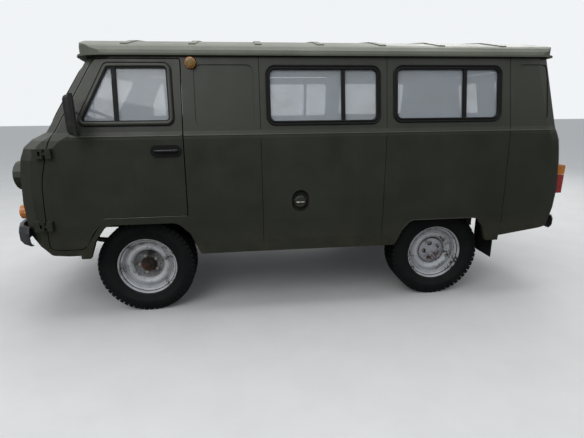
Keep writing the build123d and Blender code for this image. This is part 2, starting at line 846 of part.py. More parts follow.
# Outer half of the tyre from the tread's middle to the side wall, then back to the bead: radius and height.
TYRE_SHOULDER = ((CROWN_RADIUS, 74), (CROWN_RADIUS - 22, 97), (300, HALF_WIDTH))
TYRE_BEAD = ((276, HALF_WIDTH), (RIM_FLANGE_RADIUS + 5, BEAD_EDGE + 10), (RIM_SEAT_RADIUS, BEAD_EDGE))
# One lug from the tread's middle over the shoulder.
LUG_ROWS = ((TYRE_RADIUS, 8), (TYRE_RADIUS, 72), (CROWN_RADIUS - 14, 97))

# Rim from its middle to the outer edge: radius and height.
RIM_EDGE = ((RIM_SEAT_RADIUS, RIM_WIDTH / 2 - 13), (RIM_FLANGE_RADIUS, RIM_WIDTH / 2))
# Wheel disc: the dish outside, its hollow side and the recess at its centre.
DISH_ROWS = ((RIM_SEAT_RADIUS - 3, -12), (152, 38))
DISH_HOLLOW = ((RIM_SEAT_RADIUS - 10, -12), (145, 31))
RECESS_ROWS = ((84, DISC_OFFSET), (96, 38))
HUB_FLANGE = 102.0
# Hub outside the disc on each axle: radius and height.
FRONT_HUB = ((50, DISC_OFFSET), (46, 72), (34, 82))
REAR_HUB = ((98, DISC_OFFSET), (92, 50), (60, 60))


def mirrored_rows(rows):
    """Rows from the far side to the near side of a form that is the same on both."""
    return [(radius, -height) for radius, height in reversed(rows)] + list(rows)


def wheel_plane(x, side):
    """Plane at a wheel's centre whose local z points outwards along the axle."""
    return Plane(origin=(x, side * HALF_TRACK, AXLE_Z), x_dir=(side, 0, 0), z_dir=(0, side, 0))


def lug_form(side, sector):
    """One lug as a wedge from the axle out, over one flat side of the tread, counted round from local x."""
    flat = 360 / TREAD_SIDES
    with BuildPart() as lug:
        for radius, height in LUG_ROWS:
            corner_radius = radius / cos(radians(flat / 2))
            ends = arc_points((0, 0), corner_radius, (sector - 0.5) * flat, (sector + 0.5) * flat, 1)
            with BuildSketch(Plane.XY.offset(side * height)):
                with BuildLine():
                    Polyline((0, 0), *ends, close=True)
                make_face()
        loft(ruled=True)
    return lug.part


with BuildPart() as tyre_model:
    add(turned(mirrored_rows(TYRE_SHOULDER), TREAD_SIDES))
    for sector, side in enumerate((LEFT, RIGHT)):
        with PolarLocations(0, TREAD_SIDES // 2):
            add(lug_form(side, sector))
    add(turned(mirrored_rows(tuple(reversed(TYRE_BEAD))), RIM_SIDES), mode=Mode.SUBTRACT)


def rim_form():
    """Steel rim about local z, outer side up, with a dished disc and hand holes."""
    inner_edge = [(radius - RIM_THICKNESS, height) for radius, height in RIM_EDGE]
    with BuildPart() as rim:
        add(turned(mirrored_rows(RIM_EDGE), RIM_SIDES))
        add(turned(mirrored_rows(inner_edge), RIM_SIDES), mode=Mode.SUBTRACT)
        add(turned(DISH_ROWS, RIM_SIDES))
        add(turned(DISH_HOLLOW, RIM_SIDES), mode=Mode.SUBTRACT)
        add(turned(((HUB_FLANGE, DISC_OFFSET - 20), (HUB_FLANGE, DISH_ROWS[-1][1])), RIM_SIDES))
        add(turned(RECESS_ROWS, RIM_SIDES), mode=Mode.SUBTRACT)
        with BuildSketch():
            with PolarLocations(124, HAND_HOLES):
                RegularPolygon(17, 6)
        extrude(amount=100, mode=Mode.SUBTRACT)
    return rim.part


WHEELS = (
    ("front_left", FRONT_AXLE_X, LEFT),
    ("front_right", FRONT_AXLE_X, RIGHT),
    ("rear_left", REAR_AXLE_X, LEFT),
    ("rear_right", REAR_AXLE_X, RIGHT),
)
HUB_INNER = DISC_OFFSET - RIM_THICKNESS
DRUM_ROWS = ((DRUM_RADIUS, HUB_INNER - DRUM_WIDTH), (DRUM_RADIUS, DISC_OFFSET - 20))
SPINDLE_BORE = SPINDLE_RADIUS + SPINDLE_CLEARANCE
rim_model = rim_form()
wheel_models = {}
for name, hub_rows in (("front", FRONT_HUB), ("rear", REAR_HUB)):
    with BuildPart() as wheel_model:
        add(rim_model)
        add(turned(DRUM_ROWS, RIM_SIDES))
        add(turned(hub_rows, HUB_SIDES))
        bore_rows = ((SPINDLE_BORE, HUB_INNER - DRUM_WIDTH), (SPINDLE_BORE, HUB_INNER - 8))
        add(turned(bore_rows, HUB_SIDES), mode=Mode.SUBTRACT)
    wheel_models[name] = wheel_model.part
for name, x, side in WHEELS:
    place = wheel_plane(x, side).location
    with BuildPart() as tyre:
        add(tyre_model.part.moved(place))
    finish(tyre, f"tyre_{name}")
    with BuildPart() as wheel:
        add(wheel_models[name.split("_")[0]].moved(place))
    finish(wheel, f"wheel_{name}")

# Knuckles: a shell round each axle ball, kingpin bosses and the wheel spindle
SHELL_INNER = BALL_RADIUS + KNUCKLE_CLEARANCE
SHELL_OUTER = SHELL_INNER + KNUCKLE_WALL
BOSS_RADIUS = 28.0
SPINDLE_FLANGE = HALF_TRACK + HUB_INNER - DRUM_WIDTH - 6
SPINDLE_END = HALF_TRACK + HUB_INNER - 14
# Shell from the kingpin line outwards, and its hollow: radius and height.
SHELL_ROWS = ((SHELL_OUTER + 2, 0), (SHELL_OUTER + 2, 42), (66, SHELL_OUTER))
SHELL_HOLLOW = ((SHELL_INNER + 1, 0), (SHELL_INNER + 1, 36), (46, SHELL_INNER))
for name, side in SIDES:
    centre = (FRONT_AXLE_X, side * KINGPIN_Y, AXLE_Z)
    outward = Plane(origin=centre, x_dir=(side, 0, 0), z_dir=(0, side, 0))
    with BuildPart() as knuckle:
        add(turned(SHELL_ROWS, BALL_SIDES).moved(outward.location))
        for step in (-1, 1):
            with BuildSketch(Plane(origin=centre, z_dir=(0, 0, step)).offset(SHELL_INNER + 2)):
                Circle(BOSS_RADIUS)
            extrude(amount=KNUCKLE_WALL + 14)
        with BuildSketch(outward.offset(SHELL_INNER)):
            RegularPolygon(70, BALL_SIDES)
        extrude(amount=SPINDLE_FLANGE - KINGPIN_Y - SHELL_INNER)
        with BuildSketch(outward.offset(SPINDLE_FLANGE - KINGPIN_Y)):
            Circle(SPINDLE_RADIUS)
        extrude(amount=SPINDLE_END - SPINDLE_FLANGE)
        add(turned(SHELL_HOLLOW, BALL_SIDES).moved(outward.location), mode=Mode.SUBTRACT)
    finish(knuckle, f"knuckle_{name}")

# Axle tube with its differential housing, from the middle to the tube: radius and place along the axle.
DIFF_ROWS = ((DIFF_RADIUS, 30), (118, 78), (52, 230), (AXLE_TUBE_RADIUS, 232))
BALL_ANGLES = (-30, 0, 30, 60)


def axle_form(x, end_rows):
    """Beam axle with its differential housing, across the vehicle at x."""
    with BuildPart() as axle:
        along = Plane(origin=(x, 0, AXLE_Z), x_dir=(1, 0, 0), z_dir=(0, 1, 0))
        add(turned(mirrored_rows(DIFF_ROWS + end_rows), HUB_SIDES).moved(along.location))
        facing = -1 if x > 0 else 1
        with BuildSketch(Plane(origin=(x, 0, SHAFT_DIFF_Z), z_dir=(facing, 0, 0))):
            RegularPolygon(62, HUB_SIDES)
        extrude(amount=DIFF_NOSE)
    return axle.part


DIFF_NOSE = DIFF_RADIUS + 50
SHAFT_DIFF_Z = AXLE_Z + 10
BALL_FACET = BALL_RADIUS * cos(radians(180 / HUB_SIDES))
ball_rows = ((AXLE_TUBE_RADIUS, KINGPIN_Y - BALL_RADIUS + 10),) + tuple(
    (BALL_FACET * cos(radians(angle)), KINGPIN_Y + BALL_RADIUS * sin(radians(angle))) for angle in BALL_ANGLES
)
with BuildPart() as front_axle:
    add(axle_form(FRONT_AXLE_X, ball_rows))
finish(front_axle, "front_axle")

REAR_SPINDLE_CLEARANCE = 6.0
REAR_TUBE_END = HALF_TRACK + HUB_INNER - DRUM_WIDTH - REAR_SPINDLE_CLEARANCE
with BuildPart() as rear_axle:
    add(axle_form(REAR_AXLE_X, ((AXLE_TUBE_RADIUS, REAR_TUBE_END),)))
    for name, side in SIDES:
        with BuildSketch(Plane(origin=(REAR_AXLE_X, side * REAR_TUBE_END, AXLE_Z), z_dir=(0, side, 0))):
            Circle(SPINDLE_RADIUS)
        extrude(amount=SPINDLE_END - REAR_TUBE_END)
finish(rear_axle, "rear_axle")

# Chassis rails, open towards the middle, and cross members
with BuildPart() as chassis_rails:
    for name, side in SIDES:
        with Locations(((RAIL_FRONT + RAIL_REAR) / 2, side * RAIL_Y, RAIL_BOTTOM + RAIL_HEIGHT / 2)):
            Box(RAIL_FRONT - RAIL_REAR, RAIL_WIDTH, RAIL_HEIGHT)
        with Locations(
            ((RAIL_FRONT + RAIL_REAR) / 2, side * (RAIL_Y - 6), RAIL_BOTTOM + RAIL_HEIGHT / 2)
        ):
            Box(RAIL_FRONT - RAIL_REAR, RAIL_WIDTH, RAIL_HEIGHT - 12, mode=Mode.SUBTRACT)
finish(chassis_rails, "chassis_rails")

CROSS_PLACES = (1840.0, -60.0, -820.0, -1560.0)
CROSS_WIDTH = 90.0
CROSS_HEIGHT = 70.0
HITCH_SPACING_Y = 90.0
HITCH_SPACING_Z = 56.0
HITCH_HOLE = 6.5
REAR_CROSS_X = -1975.0
WEB_INNER = RAIL_Y + RAIL_WIDTH / 2 - 6
with BuildPart() as chassis_crossmembers:
    for x in CROSS_PLACES:
        with Locations((x, 0, RAIL_BOTTOM + RAIL_HEIGHT / 2)):
            Box(CROSS_WIDTH, 2 * WEB_INNER, CROSS_HEIGHT)
    with Locations((REAR_CROSS_X, 0, RAIL_BOTTOM + RAIL_HEIGHT / 2)):
        Box(60, 2 * WEB_INNER, RAIL_HEIGHT - 12)
    hitch_centre = (REAR_CROSS_X, 0, RAIL_BOTTOM + RAIL_HEIGHT / 2)
    with Locations(Plane(origin=hitch_centre, x_dir=(0, 1, 0), z_dir=(1, 0, 0))):
        with GridLocations(HITCH_SPACING_Y, HITCH_SPACING_Z, 2, 2):
            Cylinder(HITCH_HOLE, 100, mode=Mode.SUBTRACT)
finish(chassis_crossmembers, "chassis_crossmembers")

# Leaf springs over the axles, with their hangers up to the rails
with BuildPart() as leaf_springs:
    for x in (FRONT_AXLE_X, REAR_AXLE_X):
        for name, side in SIDES:
            low = AXLE_Z + AXLE_TUBE_RADIUS
            half = SPRING_LENGTH / 2
            spring_plane = -side * (RAIL_Y - SPRING_WIDTH / 2) + (SPRING_WIDTH if side < 0 else 0)
            with BuildSketch(Plane.XZ.offset(spring_plane)):
                with BuildLine():
                    ThreePointArc((x - half, low + SPRING_SAG), (x, low), (x + half, low + SPRING_SAG))
                    Line((x + half, low + SPRING_SAG), (x + half, low + SPRING_SAG + 14))
                    ThreePointArc(
                        (x + half, low + SPRING_SAG + 14),
                        (x, low + SPRING_THICKNESS),
                        (x - half, low + SPRING_SAG + 14),
                    )
                    Line((x - half, low + SPRING_SAG + 14), (x - half, low + SPRING_SAG))
                make_face()
            extrude(amount=-SPRING_WIDTH)
            for end in (-1, 1):
                centre_x = x + end * (half - 20)
                bottom = low + SPRING_SAG - 10
                with Locations((centre_x, side * RAIL_Y, (bottom + RAIL_BOTTOM) / 2)):
                    Box(56, SPRING_WIDTH - 4, RAIL_BOTTOM - bottom)
finish(leaf_springs, "leaf_springs")


finish(front_body, "front_body")

# Floor with boxes over the wheels and an opening under the engine cover
FRONT_BOX = (800.0, 1520.0, 436.0, 790.0)
REAR_BOX = (-1490.0, -810.0, 592.0, 770.0)
BOX_WALL = 15.0
COVER_X = (850.0, 1570.0)
COVER_HALF = 270.0
COVER_TOP = 1040.0
COVER_WALL = 20.0
floor_form = envelope(WALL + FLOOR_SIDE_CLEARANCE)
with BuildPart() as floor:
    add(block((-2300, 2300), (-SIDE_REACH, SIDE_REACH), (FLOOR_BOTTOM, FLOOR_TOP)))
    for name, side in SIDES:
        for x_rear, x_front, inner, top in (FRONT_BOX, REAR_BOX):
            span = sorted((side * inner, side * SIDE_REACH))
            add(block((x_rear, x_front), span, (FLOOR_BOTTOM, top)))
    for name, side in SIDES:
        for x_rear, x_front, inner, top in (FRONT_BOX, REAR_BOX):
            span = sorted((side * (inner + BOX_WALL), side * SIDE_REACH))
            inside = (x_rear + BOX_WALL, x_front - BOX_WALL)
            add(block(inside, span, (FLOOR_BOTTOM - 5, top - BOX_WALL)), mode=Mode.SUBTRACT)
    add(floor_form, mode=Mode.INTERSECT)
    hole_x = (COVER_X[0] + COVER_WALL, COVER_X[1] - COVER_WALL)
    hole_y = (-COVER_HALF + COVER_WALL, COVER_HALF - COVER_WALL)
    add(block(hole_x, hole_y, (FLOOR_BOTTOM - 5, FLOOR_TOP + 5)), mode=Mode.SUBTRACT)
finish(floor, "floor")

# Engine cover between the front seats, open below
with BuildPart() as engine_cover:
    add(block(COVER_X, (-COVER_HALF, COVER_HALF), (FLOOR_TOP, COVER_TOP)))
    chamfer(engine_cover.edges().filter_by(Axis.Z), length=30)
    chamfer(engine_cover.faces().sort_by(Axis.Z)[-1].edges(), length=25)
    add(block(hole_x, hole_y, (FLOOR_TOP - 5, COVER_TOP - COVER_WALL)), mode=Mode.SUBTRACT)
finish(engine_cover, "engine_cover")

with BuildPart() as engine:
    add(block((900, 1500), (-225, 225), (528, 980)))
finish(engine, "engine")

# Partition behind the cab, with a window opening
PARTITION_X = (742.0, 762.0)
cabin_form = envelope(WALL)
with BuildPart() as partition:
    add(block(PARTITION_X, (-SIDE_REACH, SIDE_REACH), (FLOOR_TOP, GUTTER_Z)))
    add(cabin_form, mode=Mode.INTERSECT)
    with BuildSketch(Plane.YZ.offset(PARTITION_X[0] - 10)):
        with Locations((0, 1560)):
            RectangleRounded(760, 380, 50)
    extrude(amount=60, mode=Mode.SUBTRACT)
finish(partition, "partition")

# Driveline: gearbox, transfer case and propeller shafts
SHAFT_RADIUS = 26.0
TRANSFER_Z = 432.0
with BuildPart() as driveline:
    add(block((405, 900), (-120, 120), (478, 694)))
    chamfer(driveline.edges().filter_by(Axis.X), length=30)
    add(block((90, 405), (-170, 130), (396, 690)))
    chamfer(driveline.faces().sort_by(Axis.X)[0].edges(), length=25)
    for start_x, end_x in ((380.0, FRONT_AXLE_X - DIFF_NOSE), (120.0, REAR_AXLE_X + DIFF_NOSE)):
        start = Vector(start_x, 0, TRANSFER_Z)
        end = Vector(end_x, 0, SHAFT_DIFF_Z)
        run = end - start
        with BuildSketch(Plane(origin=start, z_dir=run.normalized())):
            RegularPolygon(SHAFT_RADIUS, HUB_SIDES)
        extrude(amount=run.length + 20)
    add(front_axle.part, mode=Mode.SUBTRACT)
    add(rear_axle.part, mode=Mode.SUBTRACT)
finish(driveline, "driveline")

# Fuel tank under the floor on the left
with BuildPart() as fuel_tank:
    add(block((-320, 330), (470, 880), (478, FLOOR_BOTTOM)))
    fillet(fuel_tank.edges().filter_by(Axis.X), radius=40)
finish(fuel_tank, "fuel_tank")

# Exhaust along the right side under the floor
EXHAUST_Y = -520.0
EXHAUST_Z = 600.0
PIPE_FRONT = 830.0
with BuildPart() as exhaust:
    with BuildSketch(Plane.YZ.offset(-700)):
        with Locations((EXHAUST_Y, EXHAUST_Z)):
            RegularPolygon(82, LAMP_SIDES)
    extrude(amount=620)
    with BuildSketch(Plane.YZ.offset(-2070)):
        with Locations((EXHAUST_Y, 530)):
            RegularPolygon(24, BALL_SIDES)
    extrude(amount=1400)
    for x in (-600.0, -200.0):
        with Locations((x, EXHAUST_Y, (EXHAUST_Z + FLOOR_BOTTOM) / 2 + 20)):
            Box(30, 40, FLOOR_BOTTOM - EXHAUST_Z - 40)
    with BuildSketch(Plane.YZ.offset(-90)):
        with Locations((EXHAUST_Y, EXHAUST_Z)):
            RegularPolygon(24, BALL_SIDES)
    extrude(amount=PIPE_FRONT + 90)
    for x in (-1900.0,):
        with Locations((x, EXHAUST_Y, (530 + FLOOR_BOTTOM) / 2)):
            Box(30, 20, FLOOR_BOTTOM - 530)
finish(exhaust, "exhaust")

# Front seats on the wheel boxes
SEAT_Y = 570.0
SEAT_WIDTH = 470.0
# Front seat seen from the side, from the base's front corner: x, z and corner radius.
SEAT_OUTLINE = (
    (1330, 790, 0),
    (1330, 925, 40),
    (985, 905, 50),
    (925, 1480, 40),
    (815, 1480, 40),
    (865, 790, 0),
)
with BuildPart() as front_seats:
    for name, side in SIDES:
        with BuildSketch(Plane.XZ.offset(-side * SEAT_Y)):
            add(rounded_outline(SEAT_OUTLINE))
        extrude(amount=SEAT_WIDTH / 2, both=True)

# Benches along the load space
BENCH_TOP = 1120.0
with BuildPart() as rear_benches:
    for side, front in ((LEFT, 640.0), (RIGHT, SIDE_DOOR_REAR - 60)):
        span = sorted((side * 520, side * 905))
        add(block((-1900, front), span, (BENCH_TOP - 60, BENCH_TOP)))
        for x in (-1860.0, (front - 1900) / 2, front - 40):
            leg = sorted((side * 530, side * 570))
            add(block((x - 20, x + 20), leg, (FLOOR_TOP, BENCH_TOP - 60)))
with BuildPart() as seats:
    add(front_seats.part)
    add(rear_benches.part)
finish(seats, "seats")

# Dashboard against the inside of the nose
DASH_HALF = 800.0
with BuildPart() as dash_form:
    with BuildSketch(Plane.XZ.offset(-DASH_HALF)):
        with BuildLine():
            FilletPolyline(
                (1700, 1130), (1690, 1330), (2200, 1345), (2200, 1130), radius=[20, 30, 0, 0], close=True
            )
        make_face()
    extrude(amount=2 * DASH_HALF)
    add(cabin_form, mode=Mode.INTERSECT)

# Steering wheel on its column
WHEEL_CENTRE = Vector(1440, 460, 1450)
COLUMN_TILT = 27.0
WHEEL_RADIUS = 205.0
WHEEL_GRIP = 13.0
COLUMN_RADIUS = 21.0
COLUMN_GAP = 5.0
column_axis = Vector(-sin(radians(COLUMN_TILT)), 0, cos(radians(COLUMN_TILT)))
wheel_frame = Plane(origin=WHEEL_CENTRE, x_dir=(0, 1, 0), z_dir=column_axis)
# Half of the grip's six-sided section: step from the wheel's radius and height.
GRIP_ROWS = ((WHEEL_GRIP * 0.55, -WHEEL_GRIP), (WHEEL_GRIP, 0), (WHEEL_GRIP * 0.55, WHEEL_GRIP))
with BuildPart() as steering_wheel_form:
    add(turned([(WHEEL_RADIUS + step, height) for step, height in GRIP_ROWS], LAMP_SIDES))
    add(turned([(WHEEL_RADIUS - step, height) for step, height in GRIP_ROWS], LAMP_SIDES), mode=Mode.SUBTRACT)
    add(turned(((34, -34), (34, -4)), HUB_SIDES))
    with BuildSketch(Plane.XY.offset(-14)):
        with PolarLocations(WHEEL_RADIUS / 2, 3, start_angle=90):
            Rectangle(WHEEL_RADIUS, 20)
    extrude(amount=8)
with BuildPart() as steering_wheel:
    add(steering_wheel_form.part.moved(wheel_frame.location))
finish(steering_wheel, "steering_wheel")

column_length = (WHEEL_CENTRE.Z - FLOOR_TOP) / column_axis.Z
with BuildPart() as steering_column:
    with BuildSketch(wheel_frame.offset(-34 - COLUMN_GAP)):
        Circle(COLUMN_RADIUS)
    extrude(amount=-(column_length - 34 - COLUMN_GAP + 30))
    add(block((1400, 2300), (0, 900), (FLOOR_TOP - 300, FLOOR_TOP)), mode=Mode.SUBTRACT)
with BuildPart() as dashboard:
    add(dash_form.part)
    add(steering_column.part)
finish(dashboard, "dashboard")

# Bumpers: pressed channels that wrap round the corners, on brackets from the rails
BUMPER_SHEET = 5.0
BUMPER_FLANGE = 40.0
FRONT_REACH = 2125.0
REAR_REACH = -2130.0
FRONT_BUMPER_HALF = 955.0
FRONT_BUMPER_CORNER = 225.0
FRONT_BUMPER_END = 1885.0
FRONT_BUMPER_Z = (598.0, 736.0)
REAR_BUMPER_HALF = 935.0
REAR_BUMPER_CORNER = 110.0
REAR_BUMPER_END = -2084.0
REAR_BUMPER_Z = (557.0, 664.0)
BUMPER_BRACKET_Z = (608.0, 668.0)
REAR_BRACKET_Z = (558.0, 592.0)
REAR_BUMPER_SPLIT = 300.0
BRACKET_HALF = 22.0
# Rounded face of a bumper from its foot up: share of the height and step inwards.
BUMPER_ROWS = ((0.0, 20.0), (0.25, 0.0), (0.7, 0.0), (1.0, 14.0))


def bumper_block(half, corner, inset, z_range):
    """Solid inside a bumper's face, with the face rounded at its foot and head."""
    low, high = z_range
    with BuildPart() as form:
        for share, step in BUMPER_ROWS:
            inward = inset + step
            with BuildSketch(Plane.XY.offset(low + share * (high - low))):
                front = half - inward, FRONT_REACH - inward, corner - inward
                add(plan_outline(*front, REAR_REACH + inward, corner - inward))
        loft(ruled=True)
    return form.part


def bumper_form(half, corner, z_range, keep):
    """Channel section bumper, open towards the body."""
    low, high = z_range
    hollow_z = (low + BUMPER_SHEET, high - BUMPER_SHEET)
    within = half - BUMPER_FLANGE, FRONT_REACH - BUMPER_FLANGE, corner - BUMPER_FLANGE
    with BuildPart() as inner:
        with BuildSketch(Plane.XY.offset(low)):
            add(plan_outline(*within, REAR_REACH + BUMPER_FLANGE, corner - BUMPER_FLANGE))
        extrude(amount=high - low)
    with BuildPart() as form:
        add(bumper_block(half, corner, 0, z_range))
        add(bumper_block(half, corner, BUMPER_SHEET, hollow_z), mode=Mode.SUBTRACT)
        add(inner.part, mode=Mode.SUBTRACT)
        add(block(keep, (-SIDE_REACH, SIDE_REACH), (low, high)), mode=Mode.INTERSECT)
    return form.part


with BuildPart() as bumpers:
    add(bumper_form(FRONT_BUMPER_HALF, FRONT_BUMPER_CORNER, FRONT_BUMPER_Z, (FRONT_BUMPER_END, FRONT_REACH)))
    add(bumper_form(REAR_BUMPER_HALF, REAR_BUMPER_CORNER, REAR_BUMPER_Z, (REAR_REACH, REAR_BUMPER_END)))
    gap = (-REAR_BUMPER_SPLIT, REAR_BUMPER_SPLIT)
    add(block((REAR_REACH, REAR_BUMPER_END), gap, REAR_BUMPER_Z), mode=Mode.SUBTRACT)
    for name, side in SIDES:
        reach = sorted((side * (RAIL_Y - BRACKET_HALF), side * (RAIL_Y + BRACKET_HALF)))
        add(block((RAIL_FRONT, FRONT_REACH - 24), reach, BUMPER_BRACKET_Z))
        add(block((REAR_REACH + BUMPER_SHEET - 1, RAIL_REAR), reach, REAR_BRACKET_Z))
finish(bumpers, "bumpers")

# Grille with headlamp bowls, lenses and lamps
GRILLE_DEPTH = 22.0
SLOT_ROWS = 6
SLOT_PITCH = 30.0
SLOT_HEIGHT = 18.0
LAMP_CLEARANCE = 0.4
BEZEL_RADIUS = 104.0
LENS_RADIUS = 80.0
BEZEL_FRONT = 2026.0
LENS_FRONT = 2046.0
BEZEL_BACK = 1930.0
BOWL_BACK = 1962.0
BOWL_SHEET = 5.0
grille_skin = skin(3.0, 3.0 + GRILLE_DEPTH)
lamp_centre = (HEADLAMP_Y, HEADLAMP_Z)
with BuildPart() as bezel:
    with BuildSketch(Plane.YZ.offset(BEZEL_BACK)):
        with Locations(lamp_centre):
            RegularPolygon(BEZEL_RADIUS, LAMP_SIDES, major_radius=False)
            RegularPolygon(LENS_RADIUS, LAMP_SIDES, major_radius=False, mode=Mode.SUBTRACT)
    extrude(amount=BEZEL_FRONT - BEZEL_BACK)
    add(body_form, mode=Mode.SUBTRACT)
    with BuildSketch(Plane.YZ.offset(BOWL_BACK)):
        with Locations(lamp_centre):
            RegularPolygon(HEADLAMP_RADIUS - 4 - LAMP_CLEARANCE, LAMP_SIDES, major_radius=False)
    extrude(amount=BEZEL_FRONT - BOWL_BACK)
    with BuildSketch(Plane.YZ.offset(BOWL_BACK + BOWL_SHEET)):
        with Locations(lamp_centre):
            RegularPolygon(LENS_RADIUS, LAMP_SIDES, major_radius=False)
    extrude(amount=BEZEL_FRONT - BOWL_BACK, mode=Mode.SUBTRACT)
with BuildSketch() as slot_form:
    Rectangle(GRILLE_HALF - 44, SLOT_HEIGHT)
    chamfer(slot_form.vertices(), length=SLOT_HEIGHT * 0.32)
slot_outline = slot_form.sketch
with BuildPart() as nose_trim:
    add(grille_skin)
    with BuildSketch(Plane.YZ.offset(1900)):
        with Locations((0, (GRILLE_BOTTOM + GRILLE_TOP) / 2)):
            RectangleRounded(2 * GRILLE_HALF, GRILLE_TOP - GRILLE_BOTTOM, 30)
    extrude(amount=400, mode=Mode.INTERSECT)
    with BuildSketch(Plane.YZ.offset(1900)):
        with Locations((0, (GRILLE_BOTTOM + GRILLE_TOP) / 2)):
            with GridLocations(GRILLE_HALF, SLOT_PITCH, 2, SLOT_ROWS):
                add(slot_outline)
    extrude(amount=400, mode=Mode.SUBTRACT)
    add(bezel.part)
    add(twin(bezel.part))
finish(nose_trim, "nose_trim")

LENS_DEPTH = 16.0
LENS_EDGE = LENS_RADIUS - LAMP_CLEARANCE
LENS_REACH = LENS_FRONT - BEZEL_FRONT
# Domed lens from its back: radius, and height from the bezel's front.
LENS_ROWS = ((LENS_EDGE, -LENS_DEPTH), (LENS_EDGE, 4), (LENS_EDGE * 0.8, LENS_REACH * 0.7), (28, LENS_REACH))
with BuildPart() as lens:
    for radius, height in LENS_ROWS:
        with BuildSketch(Plane.YZ.offset(BEZEL_FRONT + height)):
            with Locations(lamp_centre):
                RegularPolygon(radius, LAMP_SIDES, major_radius=False)
    loft(ruled=True)
with BuildPart() as headlamp_lenses:
    add(lens.part)
    add(twin(lens.part))
finish(headlamp_lenses, "headlamp_lenses")

TURN_LAMP_RADIUS = 52.0
TURN_LAMP_FRONT = 2014.0
REPEATER_X = 709.0
REPEATER_Z = 1820.0
REPEATER_RADIUS = 36.0
REPEATER_REACH = 908.0
TAIL_LAMP_HALF = 46.0
TAIL_LAMP_Z = (855.0, 998.0, 1002.0, 1074.0)
TAIL_LAMP_BACK = -2118.0
with BuildPart() as amber_lamps:
    for name, side in SIDES:
        with BuildSketch(Plane.YZ.offset(1940)):
            with Locations((side * TURN_LAMP_Y, TURN_LAMP_Z)):
                RegularPolygon(TURN_LAMP_RADIUS, LAMP_SIDES)
        extrude(amount=TURN_LAMP_FRONT - 1940)
        with BuildSketch(Plane.XZ.offset(-side * 800)):
            with Locations((REPEATER_X, REPEATER_Z)):
                RegularPolygon(REPEATER_RADIUS, LAMP_SIDES)
        extrude(amount=-side * (REPEATER_REACH - 800))
        reach = sorted((side * (TAIL_LAMP_Y - TAIL_LAMP_HALF), side * (TAIL_LAMP_Y + TAIL_LAMP_HALF)))
        add(block((TAIL_LAMP_BACK, -1990), reach, TAIL_LAMP_Z[2:]))
    add(body_form, mode=Mode.SUBTRACT)
finish(amber_lamps, "amber_lamps")

with BuildPart() as tail_lamps:
    for name, side in SIDES:
        reach = sorted((side * (TAIL_LAMP_Y - TAIL_LAMP_HALF), side * (TAIL_LAMP_Y + TAIL_LAMP_HALF)))
        add(block((TAIL_LAMP_BACK, -1990), reach, TAIL_LAMP_Z[:2]))
    add(body_form, mode=Mode.SUBTRACT)
finish(tail_lamps, "tail_lamps")

# Mirrors on arms from the front doors
MIRROR_X = 1436.0
MIRROR_Y = 1052.0
MIRROR_Z = (1366.0, 1624.0)
MIRROR_WIDTH = 156.0
MIRROR_DEPTH = 26.0
MIRROR_TURN = 22.0
ARM_RADIUS = 7.0
for name, side in SIDES:
    with BuildPart() as mirror:
        base = Plane(origin=(MIRROR_X, side * MIRROR_Y, MIRROR_Z[0]), z_dir=(0, 0, 1))
        with BuildSketch(base.rotated((0, 0, side * MIRROR_TURN))):
            Rectangle(MIRROR_DEPTH, MIRROR_WIDTH)
        extrude(amount=MIRROR_Z[1] - MIRROR_Z[0])
        chamfer(mirror.edges().filter_by(Axis.Z), length=7)
        for z in (MIRROR_Z[0] + 24, MIRROR_Z[0] + 150):
            start = Vector(MIRROR_X, side * (MIRROR_Y - 20), z + 10)
            end = Vector(MIRROR_X + 66, side * 900, z)
            run = end - start
            with BuildSketch(Plane(origin=start, z_dir=run.normalized())):
                RegularPolygon(ARM_RADIUS, BARREL_SIDES)
            extrude(amount=run.length)
        add(body_form, mode=Mode.SUBTRACT)
    finish(mirror, f"mirror_{name}")

# Mud flaps behind the rear wheels
with BuildPart() as mud_flaps:
    for name, side in SIDES:
        add(block((-1598, -1590), sorted((side * 640, side * 896)), (331, FLOOR_BOTTOM)))
finish(mud_flaps, "mud_flaps")

# Body halves of the hinges, and the filler cap
with BuildPart() as body_fittings:
    for piece in fittings:
        add(piece)
    add(filler_cap.part)
finish(body_fittings, "body_fittings")
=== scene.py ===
from math import atan2, cos, exp, hypot, pi, radians, sin, sqrt

import bmesh
import bpy
from mathutils import Matrix, Vector


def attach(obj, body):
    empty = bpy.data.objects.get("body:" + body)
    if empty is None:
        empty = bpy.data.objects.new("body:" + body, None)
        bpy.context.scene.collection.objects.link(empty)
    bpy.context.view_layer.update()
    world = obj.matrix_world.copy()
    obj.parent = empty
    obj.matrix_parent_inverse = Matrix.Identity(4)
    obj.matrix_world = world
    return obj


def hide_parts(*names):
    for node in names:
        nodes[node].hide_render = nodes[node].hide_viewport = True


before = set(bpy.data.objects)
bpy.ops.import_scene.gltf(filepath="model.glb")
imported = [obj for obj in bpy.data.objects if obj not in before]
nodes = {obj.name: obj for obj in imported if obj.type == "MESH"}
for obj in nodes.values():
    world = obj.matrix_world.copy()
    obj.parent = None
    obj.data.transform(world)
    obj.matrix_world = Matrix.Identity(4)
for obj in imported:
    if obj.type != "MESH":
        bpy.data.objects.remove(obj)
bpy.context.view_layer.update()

# Looks of the ambulance van: finishes for every solid of the frame, and the fine pieces that sit on them.
# Metres, +X forward, +Y left, +Z up, like the frame.

# Sizes shared with the model
WHEELBASE = 2.300
TRACK = 1.442
AXLE_Z = 0.361
SIDES = (("left", 1), ("right", -1))

